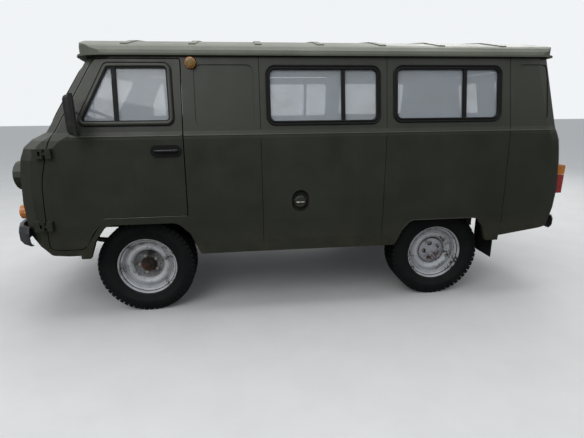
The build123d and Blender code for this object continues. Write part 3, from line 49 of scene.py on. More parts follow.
# Body sections from the sills up: height, half width, nose, nose corner radius, rear face
SECTIONS = (
    (0.495, 0.948, 1.955, 0.250, -2.036),
    (0.590, 0.958, 2.044, 0.290, -2.062),
    (0.741, 0.966, 2.066, 0.300, -2.088),
    (0.900, 0.968, 2.070, 0.300, -2.096),
    (1.100, 0.968, 2.054, 0.300, -2.076),
    (1.200, 0.968, 2.034, 0.290, -2.060),
    (1.275, 0.968, 1.998, 0.280, -2.044),
    (1.330, 0.968, 1.930, 0.270, -2.018),
    (1.356, 0.966, 1.872, 0.260, -2.004),
    (1.380, 0.960, 1.824, 0.240, -1.998),
    (1.866, 0.878, 1.496, 0.200, -1.908),
)
NOSE_BOW = 3.268
REAR_CORNER = 0.120


def between(low, high, share):
    """Numbers part of the way from one row to another."""
    return [a + (b - a) * share for a, b in zip(low, high)]


def section_at(z):
    """Body section at a height, between the listed ones."""
    for low, high in zip(SECTIONS, SECTIONS[1:]):
        if z <= high[0]:
            return between(low, high, max(0.0, (z - low[0]) / (high[0] - low[0])))
    return SECTIONS[-1]


def side_point(x, z, side=1, proud=0.0):
    """Point on the outside of a body side, at a place along the length and a height."""
    _, half, nose, corner, rear = section_at(z)
    front_centre = nose - half * half / (2 * NOSE_BOW) - corner
    rear_centre = rear + REAR_CORNER
    y = half
    if x > front_centre:
        y = half - corner + sqrt(max(0.0, corner**2 - (x - front_centre) ** 2))
    elif x < rear_centre:
        y = half - REAR_CORNER + sqrt(max(0.0, REAR_CORNER**2 - (rear_centre - x) ** 2))
    return Vector((x, side * (y + proud), z))


def front_point(y, z, proud=0.0):
    """Point on the nose, at a place across and a height."""
    nose = section_at(z)[2]
    return Vector((nose - y * y / (2 * NOSE_BOW) + proud, y, z))


def rear_point(y, z):
    """Point on the rear face, at a place across and a height."""
    return Vector((section_at(z)[4], y, z))


# Node trees
class Nodes:
    """Node tree of a material or world, with a short way to add and join nodes."""

    def __init__(self, owner):
        owner.use_nodes = True
        self.tree = owner.node_tree

    def add(self, kind, inputs=None, **settings):
        node = self.tree.nodes.new(kind)
        for key, value in settings.items():
            setattr(node, key, value)
        for socket, value in (inputs or {}).items():
            if isinstance(value, bpy.types.NodeSocket):
                self.tree.links.new(value, node.inputs[socket])
            else:
                node.inputs[socket].default_value = value
        return node


class Look(Nodes):
    """A material and the steps that its finish is built from."""

    def __init__(self, name):
        self.material = bpy.data.materials.new(name)
        super().__init__(self.material)
        self.shader = self.tree.nodes["Principled BSDF"]
        self.place = self.add("ShaderNodeTexCoord").outputs["Object"]

    def scaled(self, stretch):
        """Object place stretched along its axes."""
        return self.add("ShaderNodeMapping", {"Vector": self.place, "Scale": stretch}).outputs[0]

    def noise(self, scale, detail=4.0, rough=0.6, place=None):
        inputs = {"Vector": place or self.place, "Scale": scale, "Detail": detail, "Roughness": rough}
        return self.add("ShaderNodeTexNoise", inputs).outputs["Fac"]

    def cells(self, scale, place=None):
        inputs = {"Vector": place or self.place, "Scale": scale}
        return self.add("ShaderNodeTexVoronoi", inputs).outputs["Distance"]

    def axis(self, name):
        """One coordinate of the object place."""
        return self.add("ShaderNodeSeparateXYZ", {0: self.place}).outputs[name]

    def math(self, operation, a, b=0.0):
        return self.add("ShaderNodeMath", {0: a, 1: b}, operation=operation).outputs[0]

    def fade(self, value, start, end, low=0.0, high=1.0):
        """Value carried from one range to another, held at the ends."""
        inputs = {"Value": value, "From Min": start, "From Max": end, "To Min": low, "To Max": high}
        return self.add("ShaderNodeMapRange", inputs, clamp=True).outputs[0]

    def mix(self, share, first, second):
        inputs = {"Factor": share, 6: self.colour(first), 7: self.colour(second)}
        return self.add("ShaderNodeMix", inputs, data_type="RGBA").outputs[2]

    @staticmethod
    def colour(value):
        if isinstance(value, bpy.types.NodeSocket) or len(value) == 4:
            return value
        return (*value, 1.0)

    def bump(self, height, distance, strength=1.0, normal=None):
        inputs = {"Height": height, "Distance": distance, "Strength": strength}
        if normal is not None:
            inputs["Normal"] = normal
        return self.add("ShaderNodeBump", inputs).outputs[0]

    def set(self, **values):
        """Sockets of the shader by name, with spaces written as low lines."""
        for key, value in values.items():
            socket = self.shader.inputs[key.replace("_", " ")]
            if isinstance(value, bpy.types.NodeSocket):
                self.tree.links.new(value, socket)
            elif key == "Base_Color":
                socket.default_value = self.colour(value)
            else:
                socket.default_value = value
        return self.material


def painted(name, base, pale, dirt=(0.075, 0.062, 0.045), rough=0.42, pale_share=0.5, dirt_top=0.75):
    """Weathered matt paint: patchy tone, chalking, dust low down, fine orange peel."""
    look = Look(name)
    patches = look.fade(look.noise(1.6, 6, 0.62), 0.42, 0.68)
    streaks = look.fade(look.noise(3.0, 5, 0.6, look.scaled((3.0, 3.0, 0.35))), 0.45, 0.75)
    tone = look.mix(look.math("MULTIPLY", patches, pale_share), base, pale)
    tone = look.mix(look.math("MULTIPLY", streaks, 0.22), tone, pale)
    height = look.axis("Z")
    low = look.fade(height, dirt_top, 0.45)
    splash = look.fade(look.noise(9.0, 8, 0.7), 0.42, 0.62)
    dust = look.math("MULTIPLY", look.math("MULTIPLY", low, splash), 0.55)
    tone = look.mix(dust, tone, dirt)
    specks = look.fade(look.cells(210.0), 0.10, 0.05)
    marks = look.math("MULTIPLY", specks, look.fade(look.noise(4.0, 3), 0.56, 0.66))
    tone = look.mix(look.math("MULTIPLY", marks, 0.7), tone, (0.16, 0.15, 0.12))
    roughness = look.fade(look.noise(5.0, 6), 0.3, 0.7, rough, rough + 0.16)
    peel = look.bump(look.noise(420.0, 2), 0.0003, 0.25)
    waves = look.bump(look.noise(2.2, 2), 0.010, 0.10, peel)
    return look.set(Base_Color=tone, Roughness=roughness, Normal=waves, Specular_IOR_Level=0.5)


def rusty(name, base, second, rust=(0.10, 0.038, 0.014), share=0.5, rough=0.5, metal=0.0, scale=22.0):
    """Paint or bare steel with rust patches, chips and dirt."""
    look = Look(name)
    broad = look.noise(scale * 0.25, 6, 0.65)
    fine = look.noise(scale * 3.2, 7, 0.7)
    tone = look.mix(look.fade(broad, 0.4, 0.65), base, second)
    both = look.math("ADD", broad, look.math("MULTIPLY", fine, 0.8))
    chips = look.fade(both, 1.02 - 0.25 * share, 1.1 - 0.25 * share)
    tone = look.mix(chips, tone, rust)
    grime = look.fade(look.noise(scale, 5, 0.6), 0.55, 0.75, 0.0, 0.75)
    tone = look.mix(grime, tone, (0.035, 0.030, 0.026))
    roughness = look.fade(chips, 0.0, 1.0, rough, 0.9)
    surface = look.bump(fine, 0.0008, 0.5)
    return look.set(Base_Color=tone, Roughness=roughness, Normal=surface, Metallic=metal)


def rubber(name, base=(0.010, 0.0105, 0.011), dust=(0.05, 0.044, 0.036), share=0.35, rough=0.62, scale=14.0):
    """Black rubber with a dusty bloom and fine grain."""
    look = Look(name)
    bloom = look.fade(look.noise(scale, 6, 0.65), 0.45, 0.75, 0.0, share)
    tone = look.mix(bloom, base, dust)
    roughness = look.fade(look.noise(scale * 2, 4), 0.3, 0.7, rough, rough + 0.2)
    grain = look.bump(look.noise(900.0, 3), 0.0002, 0.4)
    return look.set(Base_Color=tone, Roughness=roughness, Normal=grain, Specular_IOR_Level=0.25)


def plastic(name, base, rough=0.4, grain=600.0, worn=(0.05, 0.05, 0.05)):
    """Moulded plastic with fine grain and handling wear."""
    look = Look(name)
    wear = look.fade(look.noise(18.0, 5), 0.5, 0.75, 0.0, 0.4)
    tone = look.mix(wear, base, worn)
    roughness = look.fade(look.noise(30.0, 4), 0.3, 0.7, rough, rough + 0.15)
    surface = look.bump(look.noise(grain, 2), 0.0002, 0.3)
    return look.set(Base_Color=tone, Roughness=roughness, Normal=surface)


def lens(name, base, ribs=160.0, axis="Z", alpha=0.92):
    """Coloured lamp lens with moulded ribs."""
    look = Look(name)
    wave = look.math("SINE", look.math("MULTIPLY", look.axis(axis), ribs * 2 * pi))
    depth = tuple(c * 0.45 for c in base)
    tone = look.mix(look.fade(look.noise(40.0, 3), 0.35, 0.7, 0.0, 0.6), base, depth)
    surface = look.bump(wave, 0.0008, 0.6)
    return look.set(Base_Color=tone, Roughness=0.16, Normal=surface, Alpha=alpha, Coat_Weight=0.6)


def glass(name, base=(0.60, 0.67, 0.73), facing=0.36, edge=0.75, rough=0.04):
    """Glass whose pale blue base colour is a painted reflection of the sky, denser towards grazing angles, with
    a little dust.
    """
    look = Look(name)
    graze = look.add("ShaderNodeLayerWeight", {"Blend": 0.25}).outputs["Facing"]
    film = look.fade(look.noise(5.0, 6, 0.7), 0.4, 0.8, 0.0, 0.10)
    alpha = look.math("ADD", look.fade(graze, 0.35, 1.0, facing, edge), film)
    tone = look.mix(look.fade(film, 0.0, 0.1), base, (0.46, 0.47, 0.46))
    return look.set(Base_Color=tone, Roughness=rough, Alpha=alpha, Coat_Weight=0.5)


def metal(name, base, rough=0.2, scale=60.0):
    """Bright metal with fine scratches."""
    look = Look(name)
    dull = look.fade(look.noise(scale * 0.4, 5), 0.4, 0.75, 0.0, 0.5)
    tone = look.mix(dull, base, tuple(c * 0.6 for c in base))
    roughness = look.fade(look.noise(scale, 5), 0.3, 0.7, rough, rough + 0.2)
    surface = look.bump(look.noise(scale * 8, 3), 0.0001, 0.3)
    return look.set(Base_Color=tone, Roughness=roughness, Normal=surface, Metallic=1.0)


def vinyl(name, base):
    """Dark seat vinyl with leather grain and creases."""
    look = Look(name)
    grain = look.bump(look.cells(320.0), 0.0005, 0.5)
    creases = look.bump(look.noise(14.0, 4), 0.004, 0.3, grain)
    tone = look.mix(look.fade(look.noise(8.0, 5), 0.45, 0.75), base, tuple(c * 1.9 for c in base))
    return look.set(Base_Color=tone, Roughness=0.55, Normal=creases)


OLIVE = (0.0235, 0.0265, 0.0175)
OLIVE_PALE = (0.041, 0.045, 0.032)
PAINT = painted("olive_paint", OLIVE, OLIVE_PALE, rough=0.34)
# The roof is a much lighter copy of the olive paint: painted sky light on the top of the van
SKYLIT_ROOF_PAINT = painted("roof_paint_skylit", (0.096, 0.104, 0.076), (0.155, 0.165, 0.128), rough=0.34, pale_share=0.8)
# The belt bead is a paler copy of the olive paint: a painted highlight along the belt crease
BELT_HIGHLIGHT_PAINT = painted("belt_highlight_paint", (0.058, 0.063, 0.048), (0.085, 0.091, 0.070), rough=0.34)
INSIDE_PAINT = painted("inside_paint", (0.23, 0.24, 0.21), (0.30, 0.31, 0.28), dirt_top=0.6)
BUMPER_PAINT = rusty("bumper_paint", (0.032, 0.037, 0.042), (0.050, 0.056, 0.062), share=0.05, rough=0.35,
                     scale=10.0)
CHASSIS = rusty("chassis_paint", (0.012, 0.012, 0.012), (0.028, 0.025, 0.022), share=0.45, rough=0.6)
IRON = rusty("cast_iron", (0.040, 0.037, 0.034), (0.065, 0.058, 0.050), share=0.7, rough=0.65, metal=0.3)
WHEEL_PAINT = rusty("wheel_paint", (0.60, 0.61, 0.63), (0.44, 0.45, 0.46), (0.040, 0.030, 0.024), share=0.16,
                    rough=0.34, scale=16.0)
HUB_CAP_PAINT = rusty("hub_cap_paint", (0.42, 0.43, 0.46), (0.36, 0.37, 0.40), share=0.1, rough=0.34,
                      scale=24.0)
HUB_RUST = rusty("hub_rust", (0.016, 0.014, 0.013), (0.034, 0.027, 0.022), rough=0.7, metal=0.2, scale=40.0)
DISC_DIRT = rusty("disc_dirt", (0.020, 0.019, 0.018), (0.40, 0.40, 0.41), (0.030, 0.022, 0.016), share=0.3,
                  scale=26.0)
NUT_STEEL = rusty("nut_steel", (0.55, 0.54, 0.52), (0.38, 0.36, 0.33), share=0.35, rough=0.35, metal=0.6,
                  scale=60.0)
EXHAUST = rusty("exhaust_steel", (0.12, 0.10, 0.085), (0.16, 0.12, 0.09), share=0.8, rough=0.6, metal=0.7)
SEAL_RUBBER = rubber("seal_rubber", base=(0.0035, 0.0035, 0.004), share=0.05, rough=0.5)
TYRE_RUBBER = rubber("tyre_rubber", base=(0.005, 0.0062, 0.0068), share=0.12, rough=0.62)
FLAP_RUBBER = rubber("flap_rubber", share=0.4)
BLACK = plastic("black_plastic", (0.012, 0.012, 0.013))
DASH = plastic("dash_plastic", (0.020, 0.020, 0.021), rough=0.5, grain=350.0)
AMBER = lens("amber_lens", (0.80, 0.24, 0.02))
RED = lens("red_lens", (0.42, 0.012, 0.010))
CLEAR_LENS = lens("clear_lens", (0.55, 0.58, 0.60), ribs=90.0, axis="Y", alpha=0.45)
# Window glass: its pale blue base colour is a painted sky reflection
GLASS = glass("window_glass_sky_tint")
MIRROR = metal("mirror_silver", (0.85, 0.86, 0.87), rough=0.03, scale=12.0)
CHROME = metal("bright_trim", (0.62, 0.63, 0.64), rough=0.15)
VINYL = vinyl("seat_vinyl", (0.018, 0.018, 0.020))
OLD_AMBER = lens("old_amber_lens", (0.26, 0.15, 0.02))
PLATE_WHITE = plastic("plate_white", (0.55, 0.55, 0.53), rough=0.35, worn=(0.30, 0.29, 0.27))
# Near-black for the metal inside recesses and wheel wells: its grime, with painted shade where light does not
# reach
LINER = rusty("liner_grime_and_shade", (0.006, 0.006, 0.006), (0.012, 0.011, 0.010), share=0.2, rough=0.8)
STITCH = rubber("seat_piping", base=(0.010, 0.010, 0.011), share=0.1, rough=0.5)
SEAM = rubber("seam_shadow", base=(0.006, 0.006, 0.005), share=0.2, rough=0.8)

# Finishes of the frame's solids: material, and the words that pick it; the first row that fits counts
FINISHES = (
    (SKYLIT_ROOF_PAINT, "roof"),
    (INSIDE_PAINT, "partition", "engine_cover"),
    (IRON, "engine", "driveline", "knuckle"),
    (EXHAUST, "exhaust"),
    (CHASSIS, "axle", "chassis", "leaf", "tank"),
    (BUMPER_PAINT, "bumpers"),
    (PAINT, "nose_trim"),
    (SEAL_RUBBER, "trim", "window_seals"),
    (FLAP_RUBBER, "mud_flaps"),
    (GLASS, "glass", "windscreen"),
    (CLEAR_LENS, "headlamp_lenses"),
    (AMBER, "amber_lamps"),
    (RED, "tail_lamps"),
    (DASH, "dashboard"),
    (BLACK, "steering_wheel", "mirror"),
    (VINYL, "seats"),
    (TYRE_RUBBER, "tyre"),
    (WHEEL_PAINT, "wheel_"),
)


def finish_for(name):
    """Material of a solid of the frame, from the words in its name."""
    return next((material for material, *words in FINISHES if any(word in name for word in words)), PAINT)


# Angles above which an edge stays sharp, in degrees
CREASE = 28.0
ROUND_CREASES = {"roof": 46.0, "front_body": 40.0}
for name, node in nodes.items():
    node.data.materials.clear()
    node.data.materials.append(finish_for(name))
    node.data.shade_smooth()
    node.data.set_sharp_from_angle(angle=radians(ROUND_CREASES.get(name, CREASE)))


# Mesh helpers
def add_object(name, data):
    """New object in the scene."""
    item = bpy.data.objects.new(name, data)
    bpy.context.scene.collection.objects.link(item)
    return item


def make_piece(name, bm, material, body, angle=35.0):
    """Turn a bmesh into a smooth piece that rides on a body, creased above an angle in degrees."""
    bmesh.ops.recalc_face_normals(bm, faces=bm.faces)
    mesh = bpy.data.meshes.new(name)
    bm.to_mesh(mesh)
    bm.free()
    mesh.materials.append(material)
    mesh.shade_smooth()
    mesh.set_sharp_from_angle(angle=radians(angle))
    piece = add_object(name, mesh)
    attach(piece, body)
    return piece


def turns(count, start=0.0):
    """Angles evenly spaced once round, from a share of a step."""
    return [2 * pi * (step + start) / count for step in range(count)]


def join(bm, first, second, closed=True):
    """Faces between two rows of vertices."""
    for index in range(len(first) if closed else len(first) - 1):
        after = (index + 1) % len(first)
        bm.faces.new((first[index], first[after], second[after], second[index]))


def sweep(bm, path, radius, sides=8, closed=False, flat=1.0):
    """Round or flattened tube along a path, with flat ends where it is open."""
    count = len(path)
    rings = []
    normal = None
    for index, point in enumerate(path):
        before = path[(index - 1) % count] if closed or index else point
        after = path[(index + 1) % count] if closed or index < count - 1 else point
        along = (after - before).normalized()
        if normal is None:
            normal = Vector((0, 0, 1)) if abs(along.z) < 0.9 else Vector((1, 0, 0))
        normal = (normal - along * normal.dot(along)).normalized()
        across = along.cross(normal)
        ring = []
        for turn in turns(sides):
            offset = normal * cos(turn) * radius + across * sin(turn) * radius * flat
            ring.append(bm.verts.new(point + offset))
        rings.append(ring)
    following = rings[1:] + rings[:1] if closed else rings[1:]
    for first, second in zip(rings, following):
        join(bm, first, second)
    if not closed:
        bm.faces.new(list(reversed(rings[0])))
        bm.faces.new(rings[-1])


def lathe(bm, profile, place, segments=96, closed=True):
    """Profile of (radius, outward place) turned about a line; a closed profile gives a ring."""
    rings = [[bm.verts.new(place(radius, turn, out)) for radius, out in profile] for turn in turns(segments)]
    for first, second in zip(rings, rings[1:] + rings[:1]):
        join(bm, first, second, closed)


def about_x(x, y, z):
    """Maker of points about a line along the van, from radius, turn and distance forwards."""
    def place(radius, turn, out):
        return Vector((x + out, y + radius * sin(turn), z + radius * cos(turn)))
    return place


def about_y(x, y, z, side=1):
    """Maker of points about a line across the van, from radius, turn and distance outwards."""
    def place(radius, turn, out):
        return Vector((x + radius * sin(turn), y + side * out, z + radius * cos(turn)))
    return place


def solid(bm, low_corners, high_corners):
    """Closed block between two loops of points."""
    low = [bm.verts.new(p) for p in low_corners]
    high = [bm.verts.new(p) for p in high_corners]
    bm.faces.new(list(reversed(low)))
    bm.faces.new(high)
    join(bm, low, high)


def loft(bm, loops, filled=()):
    """Skin over closed loops of points, with faces over the loops whose places are in filled."""
    rings = [[bm.verts.new(point) for point in loop] for loop in loops]
    for first, second in zip(rings, rings[1:]):
        join(bm, first, second)
    for index in filled:
        bm.faces.new(rings[index])


def arc_corners(corners, steps=6):
    """Closed outline through rounded corners: each corner is u, v and radius."""
    points = []
    count = len(corners)
    for index, (u, v, radius) in enumerate(corners):
        here = Vector((u, v))
        back = (Vector(corners[index - 1][:2]) - here).normalized()
        ahead = (Vector(corners[(index + 1) % count][:2]) - here).normalized()
        if radius <= 0.0:
            points.append(here)
            continue
        half = back.angle(ahead) / 2
        reach = radius / abs(sin(half) / cos(half))
        start, end = here + back * reach, here + ahead * reach
        centre = here + (back + ahead).normalized() * (radius / sin(half))
        first = atan2(start.y - centre.y, start.x - centre.x)
        sweep_angle = atan2(end.y - centre.y, end.x - centre.x) - first
        sweep_angle = (sweep_angle + pi) % (2 * pi) - pi
        for step in range(steps + 1):
            turn = first + sweep_angle * step / steps
            points.append(centre + Vector((cos(turn), sin(turn))) * radius)
    return points


def rounded_box(half_u, half_v, radius):
    """Outline of a rounded rectangle about the origin."""
    corners = ((-half_u, -half_v), (half_u, -half_v), (half_u, half_v), (-half_u, half_v))
    return arc_corners([(u, v, radius) for u, v in corners])


def rounded_window(front, rear, bottom, top, radius, grow):
    """Outline of a window seen from the side, made larger by a margin."""
    return arc_corners((
        (front + grow, bottom - grow, radius + grow),
        (front + grow, top + grow, radius + grow),
        (rear - grow, top + grow, radius + grow),
        (rear - grow, bottom - grow, radius + grow),
    ))


def divided(first, second, longest):
    """Points from one to just before the next, no further apart than a length."""
    parts = max(1, int((second - first).length / longest))
    return [first.lerp(second, step / parts) for step in range(parts)]


def spread(points, longest=0.05):
    """The same closed outline with long runs divided."""
    following = points[1:] + points[:1]
    return [point for pair in zip(points, following) for point in divided(*pair, longest)]


def inset(points, depth):
    """Closed flat outline moved inwards."""
    middle = sum(points, Vector((0.0, 0.0))) / len(points)
    moved = []
    for index, point in enumerate(points):
        along = (points[(index + 1) % len(points)] - points[index - 1]).normalized()
        normal = Vector((-along.y, along.x))
        if normal.dot(middle - point) < 0:
            normal = -normal
        moved.append(point + normal * depth)
    return moved


def side_path(points, side, proud):
    """Flat points, each a place along the length and a height, put on a body side."""
    return [side_point(p.x, p.y, side, proud) for p in points]


# Wheels
TREAD_RADIUS = 0.352
TYRE_OUTER = (
    (0.212, 0.078), (0.222, 0.088), (0.230, 0.092), (0.236, 0.096), (0.240, 0.0985), (0.244, 0.0975),
    (0.262, 0.1045), (0.280, 0.1092), (0.284, 0.1105), (0.288, 0.1102), (0.304, 0.1095), (0.320, 0.1065),
    (0.334, 0.102), (0.344, 0.096), (0.350, 0.088), (0.3515, 0.060), (TREAD_RADIUS, 0.0),
)
TYRE_INNER = tuple((radius, -out) for radius, out in reversed(TYRE_OUTER[:-1]))
TYRE_SEAT = ((0.206, -0.070), (0.206, 0.070))

# Tread: each row is low edge, high edge and shift in pitches; each pair of radii is foot and top
LUGS = 56
PITCH = 2 * pi / LUGS
CROWN_ROWS = ((-0.064, -0.026, 0.12), (-0.021, 0.021, 0.50), (0.026, 0.064, 0.12))
CROWN_RADII = (0.345, 0.3604)
CROWN_WIDTH = PITCH * 0.66
CROWN_SKEW = PITCH * 0.18
SHOULDER = (0.070, 0.101)
SHOULDER_RADII = (0.338, 0.3595)
SHOULDER_WIDTH = PITCH * 0.76
BLOCK_FOOT = 0.56
BLOCK_TOP = 0.50
CROWN_FALL = 0.995

# Side lugs: lower ends, long and short in turn; then place, half width and height at the lower and upper end
LUG_ENDS = (0.309, 0.322)
LUG_LOW = (0.107, 0.26, 0.0022)
LUG_HIGH = (0.3585, 0.0985, 0.38, 0.003)
LUG_ROOT = 0.012
LUG_TAPER = 0.9

RIM_PROFILE = (
    (0.2215, 0.0905), (0.222, 0.0885), (0.2205, 0.087), (0.213, 0.0855), (0.2105, 0.078), (0.208, 0.070),
    (0.201, 0.066), (0.193, 0.064), (0.189, 0.056), (0.186, 0.042), (0.180, 0.030), (0.174, 0.025),
    (0.169, 0.030), (0.160, 0.048), (0.150, 0.056), (0.140, 0.057), (0.129, 0.052), (0.120, 0.040),
    (0.114, 0.027), (0.108, 0.023), (0.056, 0.023),
)
BARREL_PROFILE = (
    (0.208, 0.066), (0.208, -0.078), (0.2215, -0.088), (0.2215, -0.0905), (0.205, -0.0805), (0.205, 0.062),
)
SHEET = 0.004
RIM_EDGE = 0.200
DISC_PULL = 0.002
DRUM_PROFILE = ((0.0, -0.074), (0.140, -0.074), (0.140, -0.016), (0.132, -0.010), (0.0, -0.010))
HUB_FOOT = ((0.0, -0.012), (0.062, -0.012), (0.062, 0.020), (0.060, 0.026), (0.052, 0.030))
HUB_TOP = ((0.050, -0.006), (0.046, 0.0), (0.020, 0.0), (0.019, 0.008), (0.0, 0.010))
HUB_OUT = {"front": 0.058, "rear": 0.030}
HUB_BOLTS = 6
HUB_BOLT_CIRCLE = 0.038
HUB_BOLT_SIZE = (0.0065, 0.006)
DIRT_PROFILE = (
    (0.116, 0.0315), (0.114, 0.0278), (0.108, 0.0238), (0.090, 0.0237), (0.064, 0.0237), (0.0565, 0.0238),
)
DIRT_DEPTH = 0.0012
WHEEL_NUTS = 5
NUT_START = 0.25
NUT_CIRCLE = 0.1397 / 2
NUT_OUT = 0.021
NUT_SIZE = (0.0135, 0.020)
NUT_STEPS = ((1.25, 0.0, 1.25, 0.12), (1.0, 0.1, 0.98, 0.7), (0.55, 0.65, 0.40, 1.0))

# Domed cover of the rear wheels, with oval holes
COVER_RADIUS = 0.104
COVER_OUT = 0.052
COVER_FALL = 0.026
COVER_CURVE = 2.4
COVER_RINGS = 14
COVER_STEPS = 120
COVER_SHEET = 0.002
HOLE_COUNT = 5
HOLE_START = 0.3
HOLE_CIRCLE = 0.066
HOLE_HALF_DEEP = 0.015
HOLE_HALF_WIDE = 0.0205


def tread_block(bm, place, turn, width, edges, radii, skew=0.0):
    """One tread block between two places across and two radii."""
    low, high = edges
    base, top = [], []
    for across, share in ((low, -1), (low, 1), (high, 1), (high, -1)):
        lean = skew if across == high else 0.0
        base.append(place(radii[0], turn + lean + share * width * BLOCK_FOOT, across))
        top.append(place(radii[1], turn + lean + share * width * BLOCK_TOP, across * CROWN_FALL))
    solid(bm, base, top)


def side_lug(bm, place, turn, edge, end):
    """Lug that narrows down the side of the tyre."""
    base, top = [], []
    for radius, out, half, height in ((end, *LUG_LOW), LUG_HIGH):
        for share in (-1, 1):
            wide = PITCH * half * share
            base.append(place(radius, turn + wide, edge * (out - LUG_ROOT)))
            top.append(place(radius, turn + wide * LUG_TAPER, edge * (out + height)))
    order = (0, 1, 3, 2)
    solid(bm, [base[i] for i in order], [top[i] for i in order])


def make_tyre(name, place, body):
    """Tyre with side rings, shoulder blocks, side lugs and skewed crown blocks."""
    bm = bmesh.new()
    lathe(bm, TYRE_OUTER + TYRE_INNER + TYRE_SEAT, place, 120)
    for index in range(LUGS):
        turn = PITCH * index
        for edge in (-1, 1):
            start = turn + (PITCH / 2 if edge < 0 else 0.0)
            tread_block(bm, place, start, SHOULDER_WIDTH, [edge * y for y in SHOULDER], SHOULDER_RADII)
            side_lug(bm, place, start, edge, LUG_ENDS[index % 2])
        for low, high, shift in CROWN_ROWS:
            tread_block(bm, place, turn + PITCH * shift, CROWN_WIDTH, (low, high), CROWN_RADII, CROWN_SKEW)
    piece = make_piece(f"tread_{name}", bm, TYRE_RUBBER, body, angle=28.0)
    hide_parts(f"tyre_{name}")


def bolt(bm, place, circle, turn, out, size):
    """Hexagon nut with a washer and a stud end, facing outwards on a circle about the axle."""
    centre = Vector((circle * sin(turn), circle * cos(turn)))
    half, height = size

    def hexagon(scale, level):
        points = []
        for angle in turns(6):
            u, v = centre.x + half * scale * cos(angle), centre.y + half * scale * sin(angle)
            points.append(place(hypot(u, v), atan2(u, v), level))
        return points
    for foot, low, top, high in NUT_STEPS:
        solid(bm, hexagon(foot, out + height * low), hexagon(top, out + height * high))


def make_wheel(name, place, body):
    """Pressed steel wheel with its hub, worn disc and nuts; the rear ones have a cover."""
    bm = bmesh.new()
    back = [(radius - (0.0 if radius > RIM_EDGE else DISC_PULL), out - SHEET)
            for radius, out in reversed(RIM_PROFILE)]
    lathe(bm, [*RIM_PROFILE, *back], place, 120)
    lathe(bm, BARREL_PROFILE, place)
    rim = make_piece(f"rim_{name}", bm, WHEEL_PAINT, body, angle=40.0)

    bm = bmesh.new()
    lathe(bm, DRUM_PROFILE, place, 64, closed=False)
    hub_out = HUB_OUT[name.split("_")[0]]
    lathe(bm, HUB_FOOT + tuple((radius, hub_out + out) for radius, out in HUB_TOP), place, 48, closed=False)
    for turn in turns(HUB_BOLTS):
        bolt(bm, place, HUB_BOLT_CIRCLE, turn, hub_out, HUB_BOLT_SIZE)
    make_piece(f"hub_{name}", bm, HUB_RUST, body, angle=30.0)

    bm = bmesh.new()
    back = [(radius, out - DIRT_DEPTH) for radius, out in reversed(DIRT_PROFILE)]
    lathe(bm, [*DIRT_PROFILE, *back], place)
    make_piece(f"disc_dirt_{name}", bm, DISC_DIRT, body, angle=40.0)

    bm = bmesh.new()
    for turn in turns(WHEEL_NUTS, NUT_START):
        bolt(bm, place, NUT_CIRCLE, turn, NUT_OUT, NUT_SIZE)
    make_piece(f"wheel_nuts_{name}", bm, NUT_STEEL, body, angle=30.0)

    if name.startswith("rear"):
        make_cover(name, place, body)
    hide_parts(f"wheel_{name}")


def make_cover(name, place, body):
    """Domed wheel centre cover with oval holes."""
    bm = bmesh.new()
    rings = []
    for ring in range(1, COVER_RINGS + 1):
        radius = COVER_RADIUS * ring / COVER_RINGS
        out = COVER_OUT - COVER_FALL * (radius / COVER_RADIUS) ** COVER_CURVE
        rings.append([bm.verts.new(place(radius, turn, out)) for turn in turns(COVER_STEPS)])
    middle = place(0.0, 0.0, COVER_OUT)
    centre = bm.verts.new(middle)
    for step in range(COVER_STEPS):
        after = (step + 1) % COVER_STEPS
        bm.faces.new((centre, rings[0][step], rings[0][after]))
        for low, high in zip(rings, rings[1:]):
            bm.faces.new((low[step], high[step], high[after], low[after]))
    apart = 2 * pi / HOLE_COUNT
    in_holes = []
    for face in bm.faces:
        point = face.calc_center_median() - middle
        radius, turn = hypot(point.x, point.z), atan2(point.x, point.z) % (2 * pi)
        across = (turn - HOLE_START - round((turn - HOLE_START) / apart) * apart) * radius
        if ((radius - HOLE_CIRCLE) / HOLE_HALF_DEEP) ** 2 + (across / HOLE_HALF_WIDE) ** 2 < 1.0:
            in_holes.append(face)
    bmesh.ops.delete(bm, geom=in_holes, context="FACES")
    piece = make_piece(f"wheel_cover_{name}", bm, HUB_CAP_PAINT, body, angle=60.0)
    thicken = piece.modifiers.new("sheet", "SOLIDIFY")
    thicken.thickness = COVER_SHEET
    thicken.offset = -1.0


for end, x in (("front", WHEELBASE / 2), ("rear", -WHEELBASE / 2)):
    for side_name, side in SIDES:
        name, body = f"{end}_{side_name}", f"{end}_wheel_{side_name}"
        place = about_y(x, side * TRACK / 2, AXLE_Z, side)
        make_tyre(name, place, body)
        make_wheel(name, place, body)

# Rubber beads round the windows: front and rear edge, sill, top and corner radius
WINDOWS = (
    ("window_1", 0.215, -0.593, 1.410, 1.808, 0.062),
    ("window_2", -0.687, -1.502, 1.418, 1.810, 0.062),
)
DOOR_WINDOW = ((1.474, 1.424, 0.040), (1.262, 1.818, 0.040), (0.843, 1.818, 0.045), (0.838, 1.424, 0.045))
WINDOW_BEADS = (-0.006, -0.024)
BEAD_RADIUS = 0.007
BEAD_PROUD = 0.005
door_outline = spread(arc_corners(DOOR_WINDOW))
for side_name, side in SIDES:
    for window_name, *edges in WINDOWS:
        bm = bmesh.new()
        for grow in WINDOW_BEADS:
            outline = spread(rounded_window(*edges, grow))
            sweep(bm, side_path(outline, side, BEAD_PROUD), BEAD_RADIUS, closed=True)
        body = "side_door" if (side_name, window_name) == ("right", "window_1") else "body"
        make_piece(f"bead_{window_name}_{side_name}", bm, SEAL_RUBBER, body)
    bm = bmesh.new()
    sweep(bm, side_path(door_outline, side, BEAD_PROUD), BEAD_RADIUS, closed=True)
    make_piece(f"bead_front_door_{side_name}", bm, SEAL_RUBBER, f"front_door_{side_name}")

